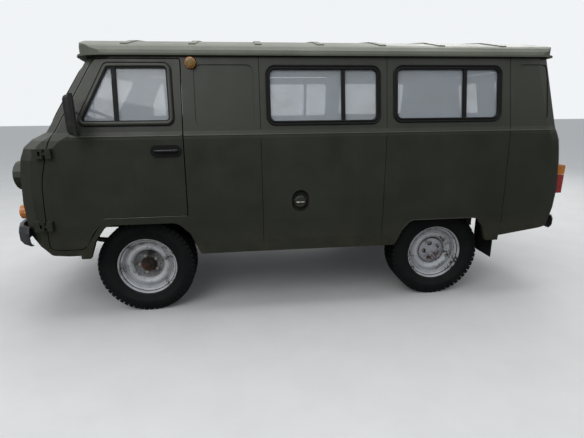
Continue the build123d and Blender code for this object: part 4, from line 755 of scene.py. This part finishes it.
# Painted rim over the outer half of the door window rubber: depth inwards and height
DOOR_RIM = ((-0.003, 0.001), (0.001, 0.011), (0.005, 0.0135), (0.019, 0.0135), (0.023, 0.011), (0.025, 0.004))
for side_name, side in SIDES:
    bm = bmesh.new()
    loft(bm, [side_path(inset(door_outline, depth), side, proud) for depth, proud in DOOR_RIM])
    make_piece(f"window_rim_{side_name}", bm, PAINT, f"front_door_{side_name}", angle=60.0)

# Pressed seams and joints in the body sides, each from a low to a high place
REAR_SEAM = ((-1.604, 0.640), (-1.564, 1.862))
SEAMS = {
    "left": (
        ((0.258, 1.386), (0.258, 1.862)),
        ((-0.640, 1.386), (-0.640, 1.862)),
        REAR_SEAM,
        ((0.258, 0.560), (0.258, 1.330)),
        ((-0.640, 0.560), (-0.640, 1.330)),
    ),
    "right": (REAR_SEAM,),
}
SEAM_STEPS = 14
SEAM_PROUD = 0.0002
SEAM_RADIUS = 0.0018
for side_name, side in SIDES:
    bm = bmesh.new()
    for low, high in SEAMS[side_name]:
        shares = [step / SEAM_STEPS for step in range(SEAM_STEPS + 1)]
        path = [side_point(*between(low, high, share), side, SEAM_PROUD) for share in shares]
        sweep(bm, path, SEAM_RADIUS, 6)
    make_piece(f"seams_{side_name}", bm, SEAM, "body")

# Rolled lips of the wheel arches: corners, height above the skin and radius
REAR_ARCH = (
    (-0.748, 0.500, 0),
    (-0.800, 0.618, 0.06),
    (-0.866, 0.693, 0.06),
    (-1.398, 0.693, 0.06),
    (-1.456, 0.618, 0.06),
    (-1.500, 0.505, 0),
)
DOOR_ARCH = ((1.510, 0.590, 0), (1.452, 0.690, 0.03), (1.366, 0.790, 0.06), (0.800, 0.790, 0))
ARCH_LIPS = (("rear", REAR_ARCH, -0.002, 0.005), ("front", DOOR_ARCH, -0.003, 0.0045))
LIP_STEP = 0.04
for lip_name, corners, proud, radius in ARCH_LIPS:
    outline = arc_corners(corners)
    points = [point for pair in zip(outline, outline[1:]) for point in divided(*pair, LIP_STEP)]
    for side_name, side in SIDES:
        bm = bmesh.new()
        sweep(bm, side_path(points + outline[-1:], side, proud), radius)
        body = f"front_door_{side_name}" if lip_name == "front" else "body"
        make_piece(f"{lip_name}_arch_lip_{side_name}", bm, PAINT, body)

# Rolled bead along the belt, one run for each panel that it crosses; its paler paint is a painted highlight of
# sky light along the crease
BELT_Z = 1.352
BELT_STEP = 0.06
BELT_PROUD = -0.0005
BELT_RADIUS = 0.0042
BELT_RUNS = (
    ("left", 1, "front_door_left", 1.632, 0.800),
    ("left", 1, "body", 0.776, -1.955),
    ("right", -1, "front_door_right", 1.632, 0.800),
    ("right", -1, "body", 0.776, 0.236),
    ("right", -1, "side_door", 0.206, -0.590),
    ("right", -1, "body", -0.620, -1.955),
)
for index, (side_name, side, body, front, rear) in enumerate(BELT_RUNS):
    steps = max(4, int((front - rear) / BELT_STEP))
    places = [front + (rear - front) * step / steps for step in range(steps + 1)]
    bm = bmesh.new()
    sweep(bm, [side_point(x, BELT_Z, side, BELT_PROUD) for x in places], BELT_RADIUS)
    make_piece(f"belt_bead_{side_name}_{index}", bm, BELT_HIGHLIGHT_PAINT, body)

# Seats: crowned pads with sewn channels, on steel frames. Each pad has its place along the van, height, lean in
# degrees, size, sewn lines and filling
SEAT_PADS = (
    ("base", 1.158, 0.862, 3.2, (0.345, 0.455, 0.110), (-0.5, 0.0, 0.5), 0.75),
    ("back", 0.906, 1.185, 96.0, (0.560, 0.450, 0.095), (-0.5, -0.1, 0.3), 0.7),
)
SEAT_Y = 0.570
SEAT_TUBES = (0.010, 0.009)
SEAT_RAIL = ((1.300, 0.800), (0.960, 0.800), (0.900, 0.815), (0.868, 1.000), (0.848, 1.430))
SEAT_RAIL_HALF = 0.19
SEAT_BARS = (0.980, 1.285)
BENCHES = (("left", 1, 0.640, 3), ("right", -1, -0.666, 2))
BENCH_REAR = -1.900
BENCH_Y = 0.7125
BENCH_LEG = ((0.550, 0.7265), (0.550, 1.040), (0.560, 1.054), (0.890, 1.056))
BENCH_RAILS = (0.560, 0.880)
BENCH_TUBES = (0.013, 0.011)
BENCH_TOP = 1.088
BENCH_PAD = (0.380, 0.060)
BENCH_CHANNELS = (-0.34, 0.34)
BENCH_ENDS = (0.020, -0.012)
LEG_INSET = 0.040
PAD_GAP = 0.008
FOOT = ((-1, -0.6), (-0.6, -1), (0.6, -1), (1, -0.6), (1, 0.6), (0.6, 1), (-0.6, 1), (-1, 0.6))
FOOT_HALF = 0.026
FOOT_Y = 0.550
FOOT_Z = 0.7262
FOOT_SHEET = 0.005
PINCH = 0.016
CROWN = 0.20
SEWN_DEPTH = 0.20
SEWN_WIDTH = 0.030
PIPING_STEPS = 10
PIPING_SHARE = 0.996
PIPING_RADIUS = 0.0045


def pad_grid(count):
    """Places from one edge of a pad to the other, closer together near the edges."""
    return [sin(pi / 2 * (2 * step / count - 1)) for step in range(count + 1)]


def pinched(u, v, length, width):
    """Place on a pad from its shares of the half sizes, pulled in between the corners."""
    pinch_u = 1 - PINCH * (1 - v * v) * abs(u) ** 3
    pinch_v = 1 - PINCH * (1 - u * u) * abs(v) ** 3
    return u * pinch_u * length / 2, v * pinch_v * width / 2


def make_pad(name, place, size, channels, fill, counts=(40, 24)):
    """Stuffed pad: crowned on top, pulled in between its corners, with sewn channels and piping."""
    length, width, thickness = size
    bm = bmesh.new()
    for face in (1, -1):
        rows = []
        for u in pad_grid(counts[0]):
            row = []
            for v in pad_grid(counts[1]):
                rise = ((1 - abs(u) ** 6) * (1 - abs(v) ** 6)) ** (1 / 3) * thickness / 2
                if face > 0:
                    sewn = sum(SEWN_DEPTH * exp(-((u - line) / SEWN_WIDTH) ** 2) for line in channels)
                    rise *= (1 - CROWN + CROWN * (1 - u * u) * (1 - v * v)) * (1 - sewn)
                row.append(bm.verts.new(place(*pinched(u, v, length, width), face * rise)))
            rows.append(row)
        for first, second in zip(rows, rows[1:]):
            for corners in zip(first, first[1:], second[1:], second):
                bm.faces.new(corners)
    bmesh.ops.remove_doubles(bm, verts=bm.verts, dist=0.0004)
    pad = make_piece(name, bm, VINYL, "body", angle=70.0)
    edge = []
    for start, end in (((-1, -1), (1, -1)), ((1, -1), (1, 1)), ((1, 1), (-1, 1)), ((-1, 1), (-1, -1))):
        for step in range(PIPING_STEPS):
            u, v = pinched(*between(start, end, step / PIPING_STEPS), length, width)
            edge.append(place(u * PIPING_SHARE, v * PIPING_SHARE, 0.0))
    bm = bmesh.new()
    sweep(bm, edge, PIPING_RADIUS, closed=True)
    make_piece(f"{name}_piping", bm, STITCH, "body")
    return pad


def tilted(x, y, z, lean):
    """Maker of points on a pad that faces up, leaned back about its own width."""
    def place(u, v, w):
        return Vector((x + u * cos(lean) - w * sin(lean), y + v, z + u * sin(lean) + w * cos(lean)))
    return place


for side_name, side in SIDES:
    y = side * SEAT_Y
    for part, x, z, lean, *details in SEAT_PADS:
        make_pad(f"seat_{part}_{side_name}", tilted(x, y, z, radians(lean)), *details)
    bm = bmesh.new()
    for step_y in (-SEAT_RAIL_HALF, SEAT_RAIL_HALF):
        sweep(bm, [Vector((x, y + step_y, z)) for x, z in SEAT_RAIL], SEAT_TUBES[0], 10)
    for x in SEAT_BARS:
        ends = [Vector((x, y + step_y, SEAT_RAIL[0][1])) for step_y in (-SEAT_RAIL_HALF, SEAT_RAIL_HALF)]
        sweep(bm, ends, SEAT_TUBES[1], 10)
    make_piece(f"seat_frame_{side_name}", bm, BLACK, "body")
for side_name, side, front, count in BENCHES:
    span = (front - BENCH_REAR) / count
    for index in range(count):
        place = tilted(BENCH_REAR + span * (index + 0.5), side * BENCH_Y, BENCH_TOP, 0.0)
        size = (span - PAD_GAP, *BENCH_PAD)
        name = f"bench_pad_{side_name}_{index}"
        make_pad(name, place, size, BENCH_CHANNELS, 0.6, (44, 16))
    bm = bmesh.new()
    for x in (BENCH_REAR + LEG_INSET, (front + BENCH_REAR) / 2, front - LEG_INSET):
        sweep(bm, [Vector((x, side * y, z)) for y, z in BENCH_LEG], BENCH_TUBES[0], 10)
        foot = [Vector((x + a * FOOT_HALF, side * FOOT_Y + b * FOOT_HALF, FOOT_Z)) for a, b in FOOT]
        solid(bm, foot, [p + Vector((0, 0, FOOT_SHEET)) for p in foot])
    rail_ends = (BENCH_REAR + BENCH_ENDS[0], front + BENCH_ENDS[1])
    for y in BENCH_RAILS:
        ends = [Vector((x, side * y, BENCH_LEG[-1][1])) for x in rail_ends]
        sweep(bm, ends, BENCH_TUBES[1], 10)
    make_piece(f"bench_frame_{side_name}", bm, CHASSIS, "body")
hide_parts("seats")

# Steering wheel: smooth rim, three spokes and a domed centre
WHEEL_CENTRE = Vector((1.440, 0.460, 1.450))
COLUMN_TILT = radians(27.0)
WHEEL_RADIUS = 0.205
GRIP_RADIUS = 0.0125
SPOKE_RADIUS = 0.008
COLUMN_WAY = Vector((-sin(COLUMN_TILT), 0.0, cos(COLUMN_TILT)))
WHEEL_AHEAD = Vector((cos(COLUMN_TILT), 0.0, sin(COLUMN_TILT)))
SPOKE = ((0.030, -0.030), (0.080, -0.028), (0.140, -0.016), (0.204, -0.001))
BOSS_PROFILE = (
    (0.0, -0.036), (0.046, -0.036), (0.050, -0.028), (0.050, -0.016), (0.044, -0.008), (0.026, -0.003),
    (0.0, -0.001),
)


def steer_place(radius, turn, level):
    """Point about the steering column: radius, turn from straight ahead, and place along the column."""
    flat = WHEEL_AHEAD * (radius * cos(turn)) + Vector((0, radius * sin(turn), 0))
    return WHEEL_CENTRE + flat + COLUMN_WAY * level


bm = bmesh.new()
sweep(bm, [steer_place(WHEEL_RADIUS, turn, 0.0) for turn in turns(72)], GRIP_RADIUS, 12, closed=True)
for turn in (pi / 2, pi, -pi / 2):
    sweep(bm, [steer_place(radius, turn, level) for radius, level in SPOKE], SPOKE_RADIUS, 10, flat=1.5)
lathe(bm, BOSS_PROFILE, steer_place, 40, closed=False)
steering = make_piece("steering_rim", bm, BLACK, "steering_wheel", angle=50.0)
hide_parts("steering_wheel")

# Headlamps: bright rim, bowl and bulb behind the ribbed lens
LAMP_FRONT = 2.026
LAMP_Y = 0.632
LAMP_Z = 1.063
LAMP_RIM = ((0.0815, 0.0015), (0.083, 0.006), (0.088, 0.0085), (0.096, 0.007), (0.101, 0.0015))
LAMP_BOWL = (
    (0.0765, -0.017), (0.070, -0.033), (0.056, -0.052), (0.038, -0.065), (0.018, -0.071), (0.0, -0.0715),
)
LAMP_BULB = (
    (0.0, -0.028), (0.006, -0.030), (0.0085, -0.036), (0.0085, -0.050), (0.012, -0.056), (0.012, -0.069),
)
for side_name, side in SIDES:
    place = about_x(LAMP_FRONT, side * LAMP_Y, LAMP_Z)
    bm = bmesh.new()
    lathe(bm, LAMP_RIM, place, 72)
    make_piece(f"headlamp_rim_{side_name}", bm, CHROME, "body", angle=50.0)
    bm = bmesh.new()
    lathe(bm, LAMP_BOWL, place, 56, closed=False)
    lathe(bm, LAMP_BULB, place, 24, closed=False)
    make_piece(f"headlamp_bowl_{side_name}", bm, MIRROR, "body", angle=60.0)

# Repeaters: old amber domes in dark rings, by distance from the van's middle
REPEATER_X = 0.709
REPEATER_Z = 1.820
REPEATER_DOME = ((0.0335, 0.8925), (0.035, 0.906), (0.030, 0.911), (0.018, 0.9135), (0.0, 0.914))
REPEATER_RING = ((0.0355, 0.888), (0.0395, 0.888), (0.039, 0.896), (0.037, 0.8985), (0.0355, 0.896))
for side_name, side in SIDES:
    place = about_y(REPEATER_X, 0.0, REPEATER_Z, side)
    bm = bmesh.new()
    lathe(bm, REPEATER_DOME, place, 40, closed=False)
    make_piece(f"repeater_dome_{side_name}", bm, OLD_AMBER, "body", angle=60.0)
    bm = bmesh.new()
    lathe(bm, REPEATER_RING, place, 48)
    make_piece(f"repeater_ring_{side_name}", bm, SEAL_RUBBER, "body", angle=50.0)

# Door handles: grip bar over a dished plate, with a push button
HANDLE_Y = 0.9765
HANDLE_Z = 1.2535
HANDLE_BAR = ((0.078, 0.0), (0.070, 0.010), (0.040, 0.0165), (-0.020, 0.017), (-0.062, 0.012), (-0.076, 0.0))
HANDLE_BUTTON = ((0.0, 0.020), (0.009, 0.0195), (0.0115, 0.017), (0.0115, 0.0))
HANDLE_RADIUS = 0.0085
BUTTON_BACK = 0.060
HANDLES = (
    ("left", 1, "front_door_left", 0.903),
    ("right", -1, "front_door_right", 0.903),
    ("side", -1, "side_door", -0.486),
)
for handle_name, side, body, x in HANDLES:
    bm = bmesh.new()
    bar = [Vector((x + a, side * (HANDLE_Y + out), HANDLE_Z)) for a, out in HANDLE_BAR]
    sweep(bm, bar, HANDLE_RADIUS, 12, flat=0.7)
    lathe(bm, HANDLE_BUTTON, about_y(x - BUTTON_BACK, side * HANDLE_Y, HANDLE_Z, side), 28, closed=False)
    make_piece(f"handle_{handle_name}", bm, BLACK, body, angle=50.0)

# Filler: near-black liner that paints the recess in shade, and a cap with a raised grip; distances out are from
# the van's middle
FILLER_X = -0.016
LINER_Z = 0.8735
LINER_CORNERS = ((-0.06, -0.076, 0.020), (0.06, -0.076, 0.020), (0.06, 0.077, 0.058), (-0.06, 0.077, 0.058))
LINER_LOOPS = ((1.0, 0.9655), (0.985, 0.9375), (0.70, 0.9362), (0.40, 0.936))
CAP_Z = 0.862
CAP_PROFILE = (
    (0.0, 0.9585), (0.024, 0.958), (0.033, 0.956), (0.037, 0.952), (0.0385, 0.944), (0.045, 0.943),
    (0.045, 0.937),
)
GRIP_TUBE = 0.005
CAP_GRIP = ((-0.028, 0.957), (-0.018, 0.9625), (0.018, 0.9625), (0.028, 0.957))
outline = arc_corners(LINER_CORNERS)
bm = bmesh.new()
loops = [[(FILLER_X + p.x * scale, y, LINER_Z + p.y * scale) for p in outline] for scale, y in LINER_LOOPS]
loft(bm, loops, (-1,))
make_piece("filler_liner", bm, LINER, "body", angle=40.0)
bm = bmesh.new()
lathe(bm, CAP_PROFILE, about_y(FILLER_X, 0.0, CAP_Z), 48, closed=False)
sweep(bm, [Vector((FILLER_X + a, y, CAP_Z)) for a, y in CAP_GRIP], GRIP_TUBE)
make_piece("filler_cap", bm, NUT_STEEL, "body", angle=40.0)

# Mirrors: glass on the rear face of each housing, a dark rim, and a domed shell in front
MIRROR_TURN = radians(22.0)
MIRROR_PLACE = (1.436, 1.052, 1.495)
MIRROR_GLASS = (0.012, 0.0142)
MIRROR_RIM = 0.0135
RIM_TUBE = 0.0028
MIRROR_SHELL = ((1.02, 0.010), (1.01, 0.020), (0.95, 0.031), (0.84, 0.039), (0.66, 0.044), (0.40, 0.046))
SHELL_SHRINK = 0.6
outline = rounded_box(0.070, 0.121, 0.016)
for side_name, side in SIDES:
    body = f"front_door_{side_name}"
    centre = Vector((MIRROR_PLACE[0], side * MIRROR_PLACE[1], MIRROR_PLACE[2]))
    back = Vector((-cos(MIRROR_TURN), -side * sin(MIRROR_TURN), 0.0))
    across = Vector((-side * back.y, side * back.x, 0.0)).normalized()

    def mirror_loop(depth, wide=1.0, high=1.0):
        """Outline of the housing, scaled, behind its middle by a depth."""
        return [centre + back * depth + across * p.x * wide + Vector((0, 0, p.y * high)) for p in outline]
    bm = bmesh.new()
    solid(bm, *[mirror_loop(depth) for depth in MIRROR_GLASS])
    make_piece(f"mirror_glass_{side_name}", bm, MIRROR, body, angle=40.0)
    bm = bmesh.new()
    sweep(bm, mirror_loop(MIRROR_RIM, 1.03, 1.015), RIM_TUBE, closed=True)
    make_piece(f"mirror_rim_{side_name}", bm, BLACK, body)
    bm = bmesh.new()
    loops = [mirror_loop(-depth, scale, 1 - (1 - scale) * SHELL_SHRINK) for scale, depth in MIRROR_SHELL]
    loft(bm, loops, (0, -1))
    make_piece(f"mirror_shell_{side_name}", bm, BLACK, body, angle=50.0)

# Wipers: arm, blade and spindle on each half of the windscreen, from a foot to a tip across. The arm has shares
# of that way, heights and distances from the nose; the blade has places from the tip and heights
WIPERS = (("left", 0.300, 0.640), ("right", -0.420, -0.080))
WIPER_ARM = ((0.0, 1.392, 0.010), (0.5, 1.500, 0.020), (1.0, 1.600, 0.016))
WIPER_ARM_RADIUS = 0.0045
WIPER_KNEE = Vector((0.004, 0, 0))
WIPER_BLADE = ((-0.025, 1.425), (0.025, 1.740))
BLADE_PROUD = 0.0125
BLADE_RADIUS = 0.005
BLADE_STEPS = 8
SPINDLE_PROFILE = ((0.0, 0.012), (0.010, 0.011), (0.013, 0.006), (0.014, -0.010))
for wiper_name, foot_y, tip_y in WIPERS:
    bm = bmesh.new()
    way = tip_y - foot_y
    foot, middle, tip = [front_point(foot_y + way * share, z, proud) for share, z, proud in WIPER_ARM]
    sweep(bm, [foot, foot.lerp(middle, 0.5) + WIPER_KNEE, middle, tip], WIPER_ARM_RADIUS)
    lathe(bm, SPINDLE_PROFILE, about_x(*foot), 24, closed=False)
    low, high = [front_point(tip_y + across, z, BLADE_PROUD) for across, z in WIPER_BLADE]
    blade = [low.lerp(high, step / BLADE_STEPS) for step in range(BLADE_STEPS + 1)]
    sweep(bm, blade, BLADE_RADIUS, flat=0.6)
    make_piece(f"wiper_{wiper_name}", bm, BLACK, "body")

# Blank plate on the right-hand rear door: near and far face behind the door, and scale
PLATE_Y = -0.330
PLATE_Z = 0.950
PLATES = (("plate_back", BLACK, 0.0, 0.0015, 1.0), ("plate_blank", PLATE_WHITE, 0.0015, 0.003, 0.96))
outline = rounded_box(0.145, 0.085, 0.012)
plate_x = min(rear_point(PLATE_Y + p.x, PLATE_Z + p.y).x for p in outline)
for plate_name, material, near, far, scale in PLATES:
    bm = bmesh.new()
    solid(bm, *[[Vector((plate_x - depth, PLATE_Y + p.x * scale, PLATE_Z + p.y * scale)) for p in outline]
                for depth in (near, far)])
    make_piece(plate_name, bm, material, "rear_door_right")

# Near-black closing plates behind the lower rear corners of the front doors: painted shade in the gap
CLOSING_CORNERS = ((1.475, 0.552), (1.590, 0.552), (1.590, 0.640), (1.520, 0.735), (1.445, 0.735))
CLOSING_RADIUS = 0.010
CLOSING_DEPTH = -0.044
PANEL_SHEET = 0.003
for side_name, side in SIDES:
    bm = bmesh.new()
    outline = arc_corners([(x, z, CLOSING_RADIUS) for x, z in CLOSING_CORNERS], 3)
    inside = side_path(outline, side, CLOSING_DEPTH)
    solid(bm, inside, [p + Vector((0, -side * PANEL_SHEET, 0)) for p in inside])
    make_piece(f"closing_plate_{side_name}", bm, LINER, "body", angle=30.0)

# Near-black inner panels of the wheel arches, their grime with painted shade, above the springs and clear of
# the steered tyres: front and rear end, uneven lower edge, top, and place across
ARCH_PANELS = ((1.505, 0.800, 0.620, 0.755, 0.492), (-0.790, -1.545, 0.600, 0.722, 0.560))
PANEL_STEPS = 12
PANEL_WAVE = 0.012
for side_name, side in SIDES:
    bm = bmesh.new()
    for front, rear, low, high, y in ARCH_PANELS:
        span = rear - front
        lower = [Vector((front + span * step / PANEL_STEPS, side * y, low + PANEL_WAVE * (step % 2)))
                 for step in range(PANEL_STEPS + 1)]
        outer = lower + [Vector((point.x, side * y, high)) for point in reversed(lower)]
        solid(bm, outer, [p + Vector((0, -side * PANEL_SHEET, 0)) for p in outer])
    make_piece(f"arch_panel_{side_name}", bm, LINER, "body", angle=20.0)

# Light, floor and camera
CAMERA_PLACE = (0.3653, 3.7852, 1.5266)
CAMERA_YAW = -0.112
CAMERA_PITCH = -0.271
CAMERA_ROLL = -0.009
FOCAL_PIXELS = 400.6
PHOTO_WIDTH = 584
SENSOR_WIDTH = 36.0
FLOOR_HALF = 40.0
LIGHTS = (
    ("key", (3.5, 5.5, 5.5), (0.0, 0.3, 0.9), (5.0, 4.0), 150),
    ("top", (0.0, 0.0, 6.5), (0.0, 0.0, 0.0), (7.0, 5.0), 240),
    ("back", (-4.5, -5.0, 4.5), (0.0, 0.0, 1.0), (4.0, 4.0), 110),
)


def make_camera():
    """Camera at the photograph's viewing angle."""
    camera = add_object("camera", bpy.data.cameras.new("camera"))
    aim = Matrix.Rotation(pi + CAMERA_YAW, 4, "Z") @ Matrix.Rotation(pi / 2 + CAMERA_PITCH, 4, "X")
    camera.matrix_world = Matrix.Translation(CAMERA_PLACE) @ aim @ Matrix.Rotation(CAMERA_ROLL, 4, "Z")
    camera.data.sensor_width = SENSOR_WIDTH
    camera.data.lens = SENSOR_WIDTH * FOCAL_PIXELS / PHOTO_WIDTH
    camera.data.clip_end = 200.0
    bpy.context.scene.camera = camera


def make_area_light(name, place, target, size, power):
    """Soft lamp aimed at a point."""
    data = bpy.data.lights.new(name, "AREA")
    data.shape = "RECTANGLE"
    data.size, data.size_y = size
    data.energy = power
    lamp = add_object(name, data)
    lamp.location = place
    lamp.rotation_mode = "QUATERNION"
    lamp.rotation_quaternion = (Vector(target) - Vector(place)).to_track_quat("-Z", "Y")


def make_world():
    """Pale even sky: white behind the object, dark below the horizon where it is mirrored."""
    world = bpy.data.worlds.new("studio")
    bpy.context.scene.world = world
    sky = Nodes(world)
    sky.tree.nodes.remove(sky.tree.nodes["Background"])
    direction = sky.add("ShaderNodeTexCoord").outputs["Generated"]
    height = sky.add("ShaderNodeSeparateXYZ", {0: direction}).outputs["Z"]
    limits = {"From Min": 0.06, "From Max": 0.42, "To Min": 0.05, "To Max": 1.0}
    horizon = sky.add("ShaderNodeMapRange", {"Value": height, **limits}).outputs[0]
    skies = (((0.86, 0.90, 0.95, 1.0), 0.62), (horizon, 1.0), ((0.88, 0.90, 0.92, 1.0), 1.0))
    lit, mirrored, shown = [
        sky.add("ShaderNodeBackground", {"Color": colour, "Strength": strength}).outputs[0]
        for colour, strength in skies]
    rays = sky.add("ShaderNodeLightPath").outputs
    unseen = sky.add("ShaderNodeMixShader", {"Fac": rays["Is Glossy Ray"], 1: lit, 2: mirrored}).outputs[0]
    whole = sky.add("ShaderNodeMixShader", {"Fac": rays["Is Camera Ray"], 1: unseen, 2: shown}).outputs[0]
    sky.tree.links.new(whole, sky.tree.nodes["World Output"].inputs["Surface"])


def make_floor():
    """Pale floor under the wheels."""
    bm = bmesh.new()
    corners = ((-1, -1), (1, -1), (1, 1), (-1, 1))
    bm.faces.new([bm.verts.new((x * FLOOR_HALF, y * FLOOR_HALF, 0.0)) for x, y in corners])
    mesh = bpy.data.meshes.new("floor_plane")
    bm.to_mesh(mesh)
    bm.free()
    look = Look("pale_floor")
    pale = look.mix(look.fade(look.noise(3.0, 4), 0.3, 0.7), (0.66, 0.66, 0.65), (0.70, 0.70, 0.69))
    seen = look.add("ShaderNodeLightPath").outputs["Is Camera Ray"]
    mesh.materials.append(look.set(Base_Color=look.mix(seen, (0.10, 0.095, 0.085), pale), Roughness=0.9))
    plane = add_object("floor_plane", mesh)


make_camera()
make_world()
make_floor()
for light in LIGHTS:
    make_area_light(*light)
bpy.context.scene.view_settings.view_transform = "Standard"
